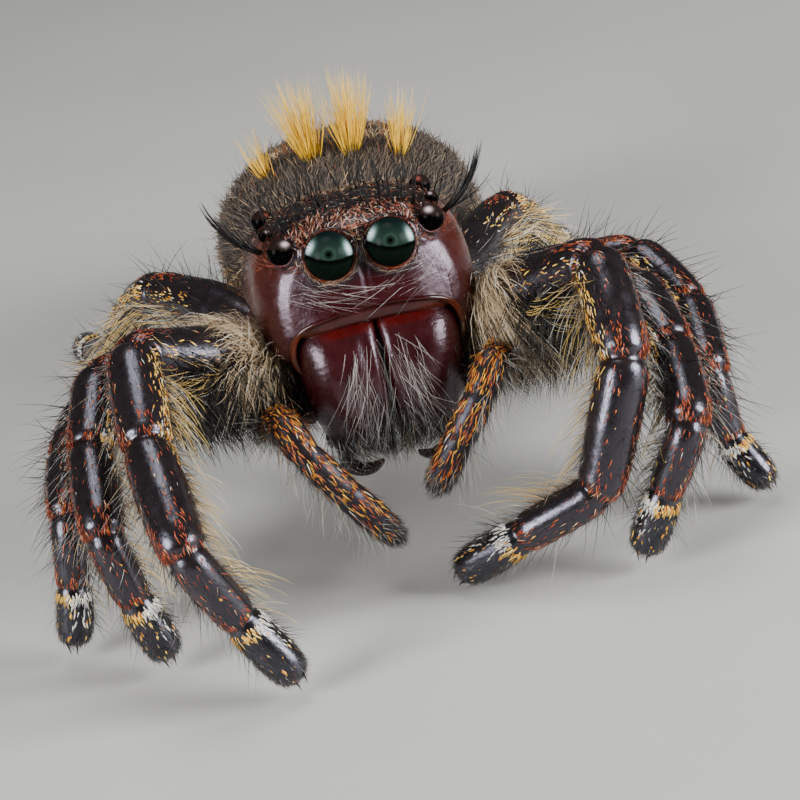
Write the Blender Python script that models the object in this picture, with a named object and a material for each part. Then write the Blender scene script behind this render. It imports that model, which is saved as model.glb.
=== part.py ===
"""A giant jumping spider, life size, standing still on its eight feet.

The spider faces -Y, its left side is +X and the floor is z = 0. Sizes are in metres.
The front half of the body is drawn level, about its own middle, and then tipped a little
nose up. Each leg is a chain of joints, and a leg's pieces meet on the plane that halves
the bend at each joint.
"""

import math
import random

import bmesh
import bpy
from mathutils import Matrix, Vector
from mathutils.bvhtree import BVHTree

MM = 0.001
GAP = 0.3 * MM
CLEAR_OF_EYE = 0.2 * MM
ROUND = 20
LIMB_SIDES = 10
SEED = 7

# Front half of the body, about its own middle
FRONT_HEIGHT = 6.5 * MM
NOSE_UP = 8.0
SECTION_POWER = 2.6
WAIST_OF_SECTION = 0.24
# (distance back, half width, top, bottom)
CARAPACE_STATIONS = (
    (-4.16, 1.90, 1.00, -1.30),
    (-4.04, 2.16, 1.28, -1.62),
    (-3.70, 2.40, 1.45, -1.84),
    (-3.15, 2.54, 1.57, -1.52),
    (-2.45, 2.62, 1.63, -1.34),
    (-1.10, 2.66, 1.62, -1.26),
    (0.30, 2.68, 1.20, -1.26),
    (1.80, 2.56, 0.62, -1.30),
    (3.20, 2.16, 0.00, -1.34),
    (3.95, 1.65, -0.38, -1.38),
    (4.20, 1.05, -0.68, -1.30),
)
STERNUM = {"middle": (0.0, 0.9, -2.1), "half": (0.82, 2.3, 0.72)}
MOUTHPARTS = {"middle": (0.0, -1.75, -2.85), "half": (0.85, 0.36, 0.62)}

# Eyes: how far out, how far back, how high, and the radius
EYES = {
    "AM": (0.715, -4.05, 0.70, 0.58),
    "AL": (1.77, -3.62, 0.95, 0.31),
    "PM": (1.98, -2.45, 1.17, 0.16),
    "PL": (1.90, -1.10, 1.24, 0.27),
}
# Segments round and over an eye's ball, first for a small eye and then for a front middle one
EYE_MESH = ((10, 6), (16, 8))

# Jaws: out, back, up, half width and half depth, down the middle of each
JAW_RINGS = 8
JAW_SIDES = 12
CHELICERA_STATIONS = (
    (1.00, -3.25, -0.98, 0.50, 0.55),
    (1.02, -3.36, -1.22, 0.82, 0.86),
    (1.02, -3.40, -1.75, 0.90, 0.96),
    (0.99, -3.34, -2.55, 0.88, 0.92),
    (0.92, -3.20, -3.35, 0.78, 0.78),
    (0.86, -3.02, -3.95, 0.56, 0.56),
    (0.84, -2.94, -4.12, 0.30, 0.30),
)
CHELICERA_POWER = 2.5
FANG = ((1.30, -3.05, -4.66), (0.86, -3.10, -4.86), (0.36, -2.98, -4.72))
FANG_RADII = (0.27, 0.25, 0.12)

# Palps, from root to tip, in the body's level frame, for each side
PALP_UPPER = ((1.35, -1.30, -3.15), (2.35, -1.85, -3.35), (2.92, -2.95, -3.15))
PALP_UPPER_RADII = (0.38, 0.42, 0.42)
PALP_LOWER = {
    "R": ((2.72, -4.70, -2.62), (2.30, -5.15, -3.40), (1.55, -5.00, -4.55), (0.50, -4.55, -6.10)),
    "L": ((2.52, -4.75, -2.18), (1.92, -5.20, -2.95), (1.25, -5.05, -3.90), (0.42, -4.70, -5.10)),
}
PALP_LOWER_RADII = (0.46, 0.46, 0.44, 0.42)

# Back half of the body, in the world: its front and back poles
ABDOMEN_FRONT = (0.15, 5.05, 4.05)
ABDOMEN_BACK = (1.65, 15.60, 2.90)
ABDOMEN_HALF_WIDTH = 3.5 * MM
ABDOMEN_HALF_HEIGHT = 2.45 * MM
ABDOMEN_POWER = 2.15
# (share of the length, share of the full half width)
ABDOMEN_OUTLINE = (
    (0.0, 0.22),
    (0.035, 0.46),
    (0.10, 0.68),
    (0.20, 0.86),
    (0.32, 0.96),
    (0.45, 1.00),
    (0.58, 0.97),
    (0.70, 0.88),
    (0.81, 0.72),
    (0.90, 0.52),
    (0.96, 0.34),
    (1.0, 0.18),
)
PEDICEL_RADIUS = 0.34 * MM
SPINNERET = {
    "count": 4, "length": 0.9 * MM, "root": 0.26 * MM, "tip": 0.16 * MM, "spread": 0.27 * MM,
    "start": 0.2 * MM, "splay": 0.25,
}
SPINNERET_RING_TAPER = 0.9
SPINNERET_SIDES = (12, 8)

# A limb's rounded end: how far short of the tip, and how wide, in radii
END_DOME = ((0.75, 1.0), (0.22, 0.80), (0.0, 0.36))
# A limb keeps the mean of its girths up to this share of the way to a bend
GIRTH_KEPT = 0.68

# Legs: hip in the body's level frame, then femur, patella, tibia, metatarsus and tarsus
HIPS = {1: (2.3, -1.9, -2.0), 2: (2.8, -0.4, -2.1), 3: (2.8, 1.1, -2.1), 4: (2.3, 2.5, -2.0)}
COXA_ROOTS = {1: (1.35, -1.15, -2.2), 2: (1.4, -0.15, -2.2), 3: (1.4, 1.15, -2.2), 4: (1.3, 2.3, -2.2)}
SEGMENTS = {
    1: (4.65, 2.7, 3.1, 2.1, 1.95),
    2: (4.3, 2.4, 2.6, 1.8, 1.65),
    3: (4.3, 2.1, 2.4, 1.65, 1.45),
    4: (4.4, 2.1, 3.0, 2.5, 1.7),
}
# Heading of each segment: 0 straight ahead, 90 out to the leg's own side. Rise: above level.
POSE = {
    "R1": {"heading": (52, 3, -5, -110, -77), "rise": (26, -30, -29, -64)},
    "R2": {"heading": (62, 14, 3, -122, -76), "rise": (16, -22, -23, -77)},
    "R3": {"heading": (71, 20, 6, 55, 55), "rise": (-1, -10, -9, -80)},
    "R4": {"heading": (150, 155, 160, 168, 172), "rise": (2, -28, -42, -13)},
    "L1": {"heading": (42, -2, -77, -107, -118), "rise": (25, -38, -68, -24)},
    "L2": {"heading": (52, 7, -6, -106, -110), "rise": (9, -21, -18, -62)},
    "L3": {"heading": (66, 26, -5, 50, 50), "rise": (10, -27, -21, -84)},
    "L4": {"heading": (150, 155, 160, 168, 172), "rise": (2, -28, -42, -13)},
}
TOE_HEIGHT = 0.42 * MM
# Radius at coxa, hip, thigh, knee, mid patella, its end, mid tibia, its end, mid metatarsus,
# ankle, mid tarsus and toe, for the first leg; the others are a little thinner.
LEG_RADII = (0.46, 0.52, 0.80, 0.62, 0.67, 0.58, 0.63, 0.52, 0.50, 0.45, 0.50, 0.46)
# Each piece of a leg with its first station and the one after its last
LEG_PIECES = (("femur", 0, 4), ("patella", 3, 6), ("tibia", 5, 8), ("foot", 7, 12))
LEG_THICKNESS = {1: 1.0, 2: 0.93, 3: 0.86, 4: 0.88}

# Locks of the long coat. Along: shares of the piece's length. Around: degrees from its top,
# towards the leg's outer side. Lean: degrees off the limb. Length and width in millimetres.
LEG_LOCKS = {
    "femur": {"along": (0.5, 0.76), "around": (-55, 50, 170), "lean": 38, "length": 1.6, "width": 0.8},
    "patella": {"along": (0.45,), "around": (-110, 110), "lean": 40, "length": 1.3, "width": 0.65},
    "tibia": {"along": (0.3, 0.62), "around": (-105, 120), "lean": 42, "length": 1.55, "width": 0.7},
    "foot": {"along": (0.24, 0.5), "around": (-100, 100), "lean": 36, "length": 1.2, "width": 0.6},
}
PALP_LOCKS = {"along": (0.3, 0.64), "around": (-90, 90), "lean": 38, "length": 1.05, "width": 0.6}
# Shares of a limb's radius at which a lock's foot and its sunk root lie, how far it may
# wander round the limb in degrees, and the range of its length
LOCK_FOOT = 0.8
LOCK_SUNK = 0.45
LOCK_WANDER = 9
LOCK_LENGTHS = (0.88, 1.12)
ABDOMEN_LOCKS = {
    "rows": 6, "first": 0.13, "last": 0.92, "spacing": 2.3, "lean": 24, "length": 2.1, "width": 1.35,
    "fewest": 5, "wander": 5, "foot": 0.1, "sunk": 0.35,
}
# Steps back and round the abdomen that give its surface's directions: a share and degrees
ABDOMEN_STEPS = (0.03, 5)
LAST_SHARE = 0.99
# Upright tufts. Fan and sway in degrees; lean is backwards and splay outwards, as shares
TUFTS = {
    "share": 0.33, "around": (-1.8, -0.6, 0.6, 1.8), "length": 2.5, "width": 0.6, "fan": (-22, 0, 22),
    "root_spread": 0.006, "lean": 0.12, "splay": 0.1, "sway": 12, "sunk": 0.4, "closer": 0.8,
}
# The tuft beside each outer front eye. Its fan is in millimetres along the body
BROWS = {
    "place": (2.20, -2.95, 0.92), "tip": (3.35, -3.45, 2.45), "width": 0.5, "fan": (-0.35, 0.0, 0.3),
    "sunk": 0.16, "root_fan": 0.2, "ring_fan": 0.3,
}
# Shares of the length at the rings and tip of a tuft's lock, and the range of its length
TUFT_RINGS = (0.3, 0.66, 1.0)
TUFT_LENGTHS = (0.85, 1.1)
LOCK_THICKNESS = 0.5
# Share of the full width at a lock's root, middle and last ring, and the room kept at its tip
LOCK_TAPER = (1.0, 0.92, 0.6)
LOCK_TIP = 0.1
LOCK_STEPS = 4
# Share of the length, and by how much the lock has sunk towards its lay there
LOCK_BEND = ((0.35, 0.0), (0.7, 0.22), (1.0, 0.42))
# Shares of its length and lean that a lock is tried at until it clears its neighbours
LOCK_TRIES = ((1.0, 1.0), (0.85, 0.75), (0.7, 0.6), (0.6, 1.0), (0.55, 0.5))

COLOURS = {
    "cuticle": ((0.055, 0.028, 0.022), 0.35),
    "leg": ((0.045, 0.028, 0.024), 0.45),
    "jaw": ((0.11, 0.022, 0.018), 0.28),
    "fang": ((0.03, 0.012, 0.01), 0.2),
    "eye": ((0.006, 0.02, 0.02), 0.05),
    "palp": ((0.16, 0.085, 0.025), 0.6),
    "abdomen": ((0.075, 0.055, 0.042), 0.75),
    "underside": ((0.06, 0.04, 0.03), 0.5),
}


def material(name):
    """The named finish, made the first time it is asked for."""
    if name in bpy.data.materials:
        return bpy.data.materials[name]
    colour, roughness = COLOURS[name]
    made = bpy.data.materials.new(name)
    made.use_nodes = True
    shader = made.node_tree.nodes["Principled BSDF"]
    shader.inputs["Base Color"].default_value = (*colour, 1.0)
    shader.inputs["Roughness"].default_value = roughness
    shader.inputs["Metallic"].default_value = 0.0
    return made


def new_object(name, bm, finish, collection):
    """The bmesh as a smooth-shaded object with its faces pointing out."""
    bmesh.ops.recalc_face_normals(bm, faces=bm.faces)
    mesh = bpy.data.meshes.new(name)
    bm.to_mesh(mesh)
    bm.free()
    mesh.shade_smooth()
    mesh.set_sharp_from_angle(angle=math.radians(50))
    mesh.materials.append(material(finish))
    obj = bpy.data.objects.new(name, mesh)
    collection.objects.link(obj)
    return obj


def loft(rings):
    """A closed skin through rings of points, with a fan over each end."""
    bm = bmesh.new()
    rows = [[bm.verts.new(point) for point in ring] for ring in rings]
    for low, high in zip(rows, rows[1:]):
        for i, corner in enumerate(low):
            j = (i + 1) % len(low)
            bm.faces.new((corner, low[j], high[j], high[i]))
    for row in (rows[0], rows[-1]):
        middle = bm.verts.new(sum((v.co for v in row), Vector()) / len(row))
        for i, corner in enumerate(row):
            bm.faces.new((corner, row[(i + 1) % len(row)], middle))
    return bm


def superellipse(angle, power):
    """A point of the unit superellipse."""
    c, s = math.cos(angle), math.sin(angle)
    return (
        math.copysign(abs(c) ** (2 / power), c),
        math.copysign(abs(s) ** (2 / power), s),
    )


def front_frame():
    """From the front half's level frame, in metres, to the world."""
    tip = Matrix.Rotation(math.radians(-NOSE_UP), 4, "X")
    return Matrix.Translation((0, 0, FRONT_HEIGHT)) @ tip


def front_point(place, side=1):
    """A place in millimetres in the front half's level frame, in the world."""
    x, y, z = place
    return front_frame() @ (Vector((side * x, y, z)) * MM)


def smooth_rows(rows, count):
    """Rows of numbers read at even steps along a curve through the given rows."""
    out = []
    for step in range(count):
        at = step / (count - 1) * (len(rows) - 1)
        i = min(int(at), len(rows) - 2)
        t = at - i
        p0, p1, p2, p3 = (rows[min(max(k, 0), len(rows) - 1)] for k in range(i - 1, i + 3))
        row = []
        for a, b, c, d in zip(p0, p1, p2, p3):
            row.append(
                0.5 * (2 * b + (c - a) * t + (2 * a - 5 * b + 4 * c - d) * t * t
                       + (3 * b - a - 3 * c + d) * t ** 3)
            )
        out.append(row)
    return out


def carapace_rings(rings):
    """Cross sections of the shield, each widest a little above its lower edge."""
    out = []
    for back, half, top, bottom in smooth_rows(CARAPACE_STATIONS, rings):
        middle = bottom + WAIST_OF_SECTION * (top - bottom)
        ring = []
        for i in range(ROUND):
            x, z = superellipse(2 * math.pi * i / ROUND, SECTION_POWER)
            reach = (top - middle) if z > 0 else (middle - bottom)
            ring.append(front_point((x * half, back, middle + z * reach)))
        out.append(ring)
    return out


def chelicera_rings(side, grow=0.0):
    """Cross sections of one jaw, grown all round by some millimetres for a cutter."""
    rows = smooth_rows(CHELICERA_STATIONS, JAW_RINGS)
    out = []
    for k, (out_x, back, up, half, depth) in enumerate(rows):
        lift = grow if k == 0 else 0.0
        drop = grow if k == len(rows) - 1 else 0.0
        ring = []
        for i in range(JAW_SIDES):
            x, y = superellipse(2 * math.pi * i / JAW_SIDES, CHELICERA_POWER)
            place = (out_x + x * (half + grow), back + y * (depth + grow), up + lift - drop)
            ring.append(front_point(place, side))
        out.append(ring)
    return out


def bisector(points, i):
    """Unit direction of the path at point i, halving the bend there."""
    before = (points[i] - points[i - 1]).normalized() if i else None
    after = (points[i + 1] - points[i]).normalized() if i + 1 < len(points) else None
    if before is None:
        return after
    if after is None:
        return before
    return (before + after).normalized()


def tube_rings(points, radii, sides):
    """Rings along a bent path; each ring lies on the plane that halves the path's bend."""
    across = Vector((0, 0, 1))
    rings = []
    last = len(points) - 1
    for i, (point, radius) in enumerate(zip(points, radii)):
        normal = bisector(points, i)
        along = (points[min(i + 1, last)] - points[i if i < last else i - 1]).normalized()
        u = (across - across.dot(along) * along).normalized()
        v = along.cross(u)
        ring = []
        for k in range(sides):
            angle = 2 * math.pi * k / sides
            offset = (u * math.cos(angle) + v * math.sin(angle)) * radius
            offset -= along * (offset.dot(normal) / along.dot(normal))
            ring.append(point + offset)
        rings.append(ring)
        across = u
    return rings


def round_end(points, radii, at_start):
    """Two more stations that close an end in a dome inside its own length."""
    if at_start:
        points, radii = points[::-1], radii[::-1]
    along = (points[-1] - points[-2]).normalized()
    tip, radius = points[-1], radii[-1]
    points = points[:-1] + [tip - along * radius * short for short, _ in END_DOME]
    radii = radii[:-1] + [radius * wide for _, wide in END_DOME]
    if at_start:
        points, radii = points[::-1], radii[::-1]
    return points, radii


def ellipsoid(name, middle, half, finish, collection):
    """A rounded block in the front half's level frame."""
    bm = bmesh.new()
    bmesh.ops.create_uvsphere(bm, u_segments=12, v_segments=8, radius=1.0)
    for vert in bm.verts:
        x, y, z = vert.co
        vert.co = front_point(tuple(m + h * c for m, h, c in zip(middle, half, (x, y, z))))
    return new_object(name, bm, finish, collection)


def eye_ball(name, kind, side, finish, collection, grow=0.0):
    """A ball in its place on the head, grown for the socket's cutter."""
    out, back, up, radius = EYES[kind]
    around, over = EYE_MESH[kind == "AM"]
    bm = bmesh.new()
    bmesh.ops.create_uvsphere(bm, u_segments=around, v_segments=over, radius=radius * MM + grow)
    turn = Matrix.Rotation(math.radians(90), 4, "X")
    bmesh.ops.transform(
        bm, matrix=Matrix.Translation(front_point((out, back, up), side)) @ turn, verts=bm.verts
    )
    return new_object(name, bm, finish, collection)


def boolean(target, others, operation, solver="EXACT"):
    """One applied Boolean with every helper given, which are then removed."""
    helpers = bpy.data.collections.new("helpers")
    bpy.context.scene.collection.children.link(helpers)
    for other in others:
        for owner in list(other.users_collection):
            owner.objects.unlink(other)
        helpers.objects.link(other)
    modifier = target.modifiers.new(operation.lower(), "BOOLEAN")
    modifier.operation = operation
    modifier.operand_type = "COLLECTION"
    modifier.collection = helpers
    modifier.solver = solver
    bpy.context.view_layer.update()
    graph = bpy.context.evaluated_depsgraph_get()
    mesh = bpy.data.meshes.new_from_object(target.evaluated_get(graph))
    target.modifiers.clear()
    old = target.data
    target.data = mesh
    bpy.data.meshes.remove(old)
    mesh.name = target.name
    for other in list(helpers.objects):
        bpy.data.objects.remove(other)
    bpy.data.collections.remove(helpers)
    keep_largest(target)


def keep_largest(obj):
    """Keeps only the largest closed surface of the mesh."""
    bm = bmesh.new()
    bm.from_mesh(obj.data)
    bmesh.ops.remove_doubles(bm, verts=bm.verts, dist=0.002 * MM)
    bmesh.ops.dissolve_degenerate(bm, edges=bm.edges, dist=0.001 * MM)
    bmesh.ops.triangulate(bm, faces=bm.faces)
    left = set(bm.verts)
    shells = []
    while left:
        stack = [left.pop()]
        shell = set(stack)
        while stack:
            for edge in stack.pop().link_edges:
                for vert in edge.verts:
                    if vert in left:
                        left.discard(vert)
                        shell.add(vert)
                        stack.append(vert)
        shells.append(shell)
    shells.sort(key=len)
    for shell in shells[:-1]:
        bmesh.ops.delete(bm, geom=list(shell), context="VERTS")
    bm.to_mesh(obj.data)
    bm.free()


def make_head(collection):
    """The shield with its eye sockets and the hollow that takes the jaws."""
    carapace = new_object("carapace", loft(carapace_rings(18)), "cuticle", collection)
    cutters = []
    for side, tag in ((1, "L"), (-1, "R")):
        for kind in EYES:
            cutters.append(
                eye_ball(f"socket_{kind}_{tag}", kind, side, "cuticle", collection, CLEAR_OF_EYE)
            )
        grown = loft(chelicera_rings(side, GAP / MM))
        cutters.append(new_object(f"jaw_room_{tag}", grown, "cuticle", collection))
    boolean(carapace, cutters, "DIFFERENCE")
    for side, tag in ((1, "L"), (-1, "R")):
        for kind in EYES:
            eye_ball(f"eye_{kind}_{tag}", kind, side, "eye", collection)
        new_object(f"chelicera_{tag}", loft(chelicera_rings(side)), "jaw", collection)
        make_fang(side, tag, collection)
        make_palp(side, tag, collection)
    ellipsoid("sternum", STERNUM["middle"], STERNUM["half"], "underside", collection)
    ellipsoid("mouthparts", MOUTHPARTS["middle"], MOUTHPARTS["half"], "underside", collection)


def make_fang(side, tag, collection):
    """The folded fang under the jaw's end."""
    points = [front_point(place, side) for place in FANG]
    radii = [radius * MM for radius in FANG_RADII]
    make_chain(points, radii, ((f"fang_{tag}", 0, len(points)),), "fang", collection)


def make_palp(side, tag, collection):
    """The feeler beside the jaws: an upper piece to the knee and a lower piece."""
    points = [front_point(place, side) for place in (*PALP_UPPER, *PALP_LOWER[tag])]
    radii = [radius * MM for radius in (*PALP_UPPER_RADII, *PALP_LOWER_RADII)]
    knee = len(PALP_UPPER)
    pieces = ((f"palp_upper_{tag}", 0, knee + 1), (f"palp_lower_{tag}", knee, len(points)))
    make_chain(points, radii, pieces, "palp", collection)


def direction(heading, rise, side):
    """Unit vector of a leg's segment."""
    flat = math.cos(math.radians(rise))
    return Vector((
        side * math.sin(math.radians(heading)) * flat,
        -math.cos(math.radians(heading)) * flat,
        math.sin(math.radians(rise)),
    ))


def leg_joints(tag):
    """Coxa root, hip, knee, patella's end, tibia's end, ankle and toe of one leg."""
    side = 1 if tag[0] == "L" else -1
    number = int(tag[1])
    joints = [front_point(COXA_ROOTS[number], side), front_point(HIPS[number], side)]
    pose = POSE[tag]
    for length, heading, rise in zip(SEGMENTS[number], pose["heading"], pose["rise"]):
        joints.append(joints[-1] + direction(heading, rise, side) * length * MM)
    # The toe comes down to the floor wherever the ankle is.
    tarsus = SEGMENTS[number][-1] * MM
    rise = math.degrees(math.asin((TOE_HEIGHT - joints[-1].z) / tarsus))
    joints.append(joints[-1] + direction(pose["heading"][-1], rise, side) * tarsus)
    return joints


def leg_stations(tag):
    """Points and radii down the leg, with one station halfway along each segment."""
    joints = leg_joints(tag)
    points = [joints[0], joints[1]]
    for a, b in zip(joints[1:], joints[2:]):
        points += [(a + b) / 2, b]
    thick = LEG_THICKNESS[int(tag[1])] * MM
    return points, [radius * thick for radius in LEG_RADII]


def stand_flat(bm):
    """Cuts the sole at the floor and closes it with a flat face."""
    geometry = bm.verts[:] + bm.edges[:] + bm.faces[:]
    cut = bmesh.ops.bisect_plane(
        bm, geom=geometry, plane_co=(0, 0, 0), plane_no=(0, 0, 1), clear_inner=True
    )
    rim = [item for item in cut["geom_cut"] if isinstance(item, bmesh.types.BMEdge)]
    bmesh.ops.contextual_create(bm, geom=rim)


def make_leg(tag, collection):
    """Femur with its coxa, patella, tibia, and foot, each its own node."""
    points, radii = leg_stations(tag)
    named = [(f"leg_{tag}_{piece}", first, end) for piece, first, end in LEG_PIECES]
    make_chain(points, radii, named, "leg", collection)


def make_chain(points, radii, pieces, finish, collection):
    """A limb parted at some of its stations; each piece runs from station first up to end."""
    for name, first, end in pieces:
        path, thick = list(points[first:end]), list(radii[first:end])
        if first > 0:
            path, thick = keep_girth(path, thick)
        else:
            path, thick = round_end(path, thick, True)
        if end < len(points):
            path, thick = (row[::-1] for row in keep_girth(path[::-1], thick[::-1]))
        else:
            path, thick = round_end(path, thick, False)
        rings = tube_rings(path, thick, LIMB_SIDES)
        if first > 0:
            rings[0] = parted(rings[0], points, first, 1)
        if end < len(points):
            rings[-1] = parted(rings[-1], points, end - 1, -1)
        bm = loft(rings)
        if name.endswith("foot"):
            stand_flat(bm)
        new_object(name, bm, finish, collection)


def keep_girth(path, thick):
    """Adds a station close to the first, so that a piece keeps its girth up to the bend."""
    path = [path[0], path[0].lerp(path[1], GIRTH_KEPT)] + path[1:]
    thick = [thick[0], (thick[0] + thick[1]) / 2] + thick[1:]
    return path, thick


def parted(ring, points, joint, forward):
    """The ring slid along its limb on to the plane that it shares with the next piece."""
    normal = bisector(points, joint)
    along = (points[joint + forward] - points[joint]).normalized()
    face = points[joint] + normal * (forward * GAP / 2)
    return [corner - along * ((corner - face).dot(normal) / along.dot(normal)) for corner in ring]


def abdomen_frame():
    """Front pole, back pole and the directions across and up."""
    front, back = Vector(ABDOMEN_FRONT) * MM, Vector(ABDOMEN_BACK) * MM
    along = (back - front).normalized()
    across = Vector((0, 0, 1)).cross(along).normalized() * -1
    return front, back, across, along.cross(across) * -1


def abdomen_point(share, angle):
    """A place on the abdomen: share of its length and the angle round it, 90 on top."""
    front, back, across, up = abdomen_frame()
    shares = [row[0] for row in ABDOMEN_OUTLINE]
    i = max(k for k in range(len(shares) - 1) if shares[k] <= share or k == 0)
    t = (share - shares[i]) / (shares[i + 1] - shares[i])
    wide = ABDOMEN_OUTLINE[i][1] * (1 - t) + ABDOMEN_OUTLINE[i + 1][1] * t
    x, z = superellipse(math.radians(angle), ABDOMEN_POWER)
    spread = across * x * ABDOMEN_HALF_WIDTH + up * z * ABDOMEN_HALF_HEIGHT
    return front.lerp(back, share) + spread * wide


def make_abdomen(collection):
    """The egg-shaped back half, its short waist and the spinnerets at its end."""
    rings = []
    for share, _ in ABDOMEN_OUTLINE:
        rings.append([abdomen_point(share, 360 * i / ROUND) for i in range(ROUND)])
    new_object("abdomen", loft(rings), "abdomen", collection)
    front, back, across, up = abdomen_frame()
    last = CARAPACE_STATIONS[-1]
    start = front_point((0, last[0], (last[2] + last[3]) / 2))
    step = (front - start).normalized()
    path = [start + step * GAP, start.lerp(front, 0.5), front - step * GAP]
    rings = tube_rings(path, [PEDICEL_RADIUS] * 3, LIMB_SIDES)
    new_object("pedicel", loft(rings), "underside", collection)
    make_spinnerets(front, back, across, up, collection)


def make_spinnerets(front, back, across, up, collection):
    """Short taper-ended spigots joined at the root."""
    along = (back - front).normalized()
    root = back + along * GAP
    path = [root, root + along * SPINNERET["root"] * 2]
    wide = SPINNERET["spread"] + SPINNERET["root"]
    rings = tube_rings(path, [wide, wide * SPINNERET_RING_TAPER], SPINNERET_SIDES[0])
    body = new_object("spinnerets", loft(rings), "underside", collection)
    spigots = []
    for k in range(SPINNERET["count"]):
        angle = 2 * math.pi * (k + 0.5) / SPINNERET["count"]
        aside = across * math.cos(angle) + up * math.sin(angle)
        start = root + along * SPINNERET["start"] + aside * SPINNERET["spread"]
        end = start + (along + aside * SPINNERET["splay"]) * SPINNERET["length"]
        rings = tube_rings([start, end], [SPINNERET["root"], SPINNERET["tip"]], SPINNERET_SIDES[1])
        spigots.append(new_object(f"spigot_{k}", loft(rings), "underside", collection))
    boolean(body, spigots, "UNION")


def lock(name, path, across, width, finish, collection):
    """A flat tapered lock along a path of four places, four-sided, ending in a point."""
    bm = bmesh.new()
    rows = []
    for i, share in enumerate(LOCK_TAPER):
        along = (path[i + 1] - path[i]).normalized()
        side = (across - across.dot(along) * along).normalized() * width * share / 2
        face = along.cross(side.normalized()) * min(LOCK_THICKNESS * MM, width) * share / 2
        rows.append([bm.verts.new(path[i] + offset) for offset in (side, face, -side, -face)])
    tip = bm.verts.new(path[-1])
    bm.faces.new(rows[0])
    for low, high in zip(rows, rows[1:]):
        for i in range(4):
            j = (i + 1) % 4
            bm.faces.new((low[i], low[j], high[j]))
            bm.faces.new((low[i], high[j], high[i]))
    for i in range(4):
        bm.faces.new((rows[-1][i], rows[-1][(i + 1) % 4], tip))
    return new_object(name, bm, finish, collection)


def lock_path(foot, normal, lay, length, lean, sunk):
    """Four places: sunk root, and a line that leans off the surface and droops along the lay."""
    path = [foot - normal * sunk]
    for share, droop in LOCK_BEND:
        tilt = math.radians(lean * (1 - droop))
        step = (normal * math.sin(tilt) + lay * math.cos(tilt)) * length
        path.append(foot + step * share)
    return path


def lock_samples(path, width):
    """Places along the lock with the room that each needs round it."""
    wide = [*LOCK_TAPER, LOCK_TIP]
    out = []
    for i, (a, b) in enumerate(zip(path, path[1:])):
        for k in range(LOCK_STEPS):
            t = (k + 1) / LOCK_STEPS
            out.append((a.lerp(b, t), width / 2 * (wide[i] * (1 - t) + wide[i + 1] * t)))
    return out


class Coat:
    """Places locks on nodes and keeps them clear of every other node and its locks."""

    def __init__(self, collection):
        self.collection = collection
        self.trees = {}
        self.nodes = {}
        self.placed = []
        self.draw = random.Random(SEED)
        for obj in collection.objects:
            bm = bmesh.new()
            bm.from_mesh(obj.data)
            self.trees[obj.name] = BVHTree.FromBMesh(bm)
            bm.free()

    def is_clear(self, node, path, width):
        """True where no other node, lock or floor is within the gap."""
        for point, half in lock_samples(path, width):
            reach = half + GAP
            if point.z < half + GAP / 2:
                return False
            for name, tree in self.trees.items():
                if name != node and tree.find_nearest(point, reach)[0] is not None:
                    return False
            for other, place, room in self.placed:
                if other != node and (point - place).length < reach + room:
                    return False
        return True

    def add(self, node, foot, normal, lay, length, width, lean, sunk):
        """One lock, made shorter or flatter until it is clear, or left out."""
        for shorter, flatter in LOCK_TRIES:
            path = lock_path(foot, normal, lay, length * shorter, lean * flatter, sunk)
            if self.is_clear(node, path, width):
                self.keep(node, path, normal.cross(lay), width)
                return

    def keep(self, node, path, across, width):
        """Makes the lock and remembers it for its node's union."""
        finish = self.collection.objects[node].data.materials[0].name
        made = self.nodes.setdefault(node, [])
        made.append(lock(f"{node}_lock_{len(made)}", path, across, width, finish, self.collection))
        self.placed += [(node, point, half) for point, half in lock_samples(path, width)]

    def fuse(self):
        """Joins every lock to its node."""
        for node, locks in self.nodes.items():
            boolean(self.collection.objects[node], locks, "UNION", "MANIFOLD")


def limb_locks(coat, node, points, radii, plan, side):
    """Rows of locks down one piece of a limb, leaning towards its tip."""
    lengths = [(b - a).length for a, b in zip(points, points[1:])]
    for share in plan["along"]:
        at = share * sum(lengths)
        i = 0
        while at > lengths[i] and i < len(lengths) - 1:
            at -= lengths[i]
            i += 1
        t = at / lengths[i]
        middle = points[i].lerp(points[i + 1], t)
        radius = radii[i] * (1 - t) + radii[i + 1] * t
        along = (points[i + 1] - points[i]).normalized()
        up = Vector((0, 0, 1))
        up = (up - up.dot(along) * along).normalized()
        outer = along.cross(up) * side
        for around in plan["around"]:
            angle = math.radians(around + coat.draw.uniform(-LOCK_WANDER, LOCK_WANDER))
            normal = up * math.cos(angle) + outer * math.sin(angle)
            length = plan["length"] * MM * coat.draw.uniform(*LOCK_LENGTHS)
            coat.add(
                node, middle + normal * radius * LOCK_FOOT, normal, along, length, plan["width"] * MM,
                plan["lean"], radius * LOCK_SUNK,
            )


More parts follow.
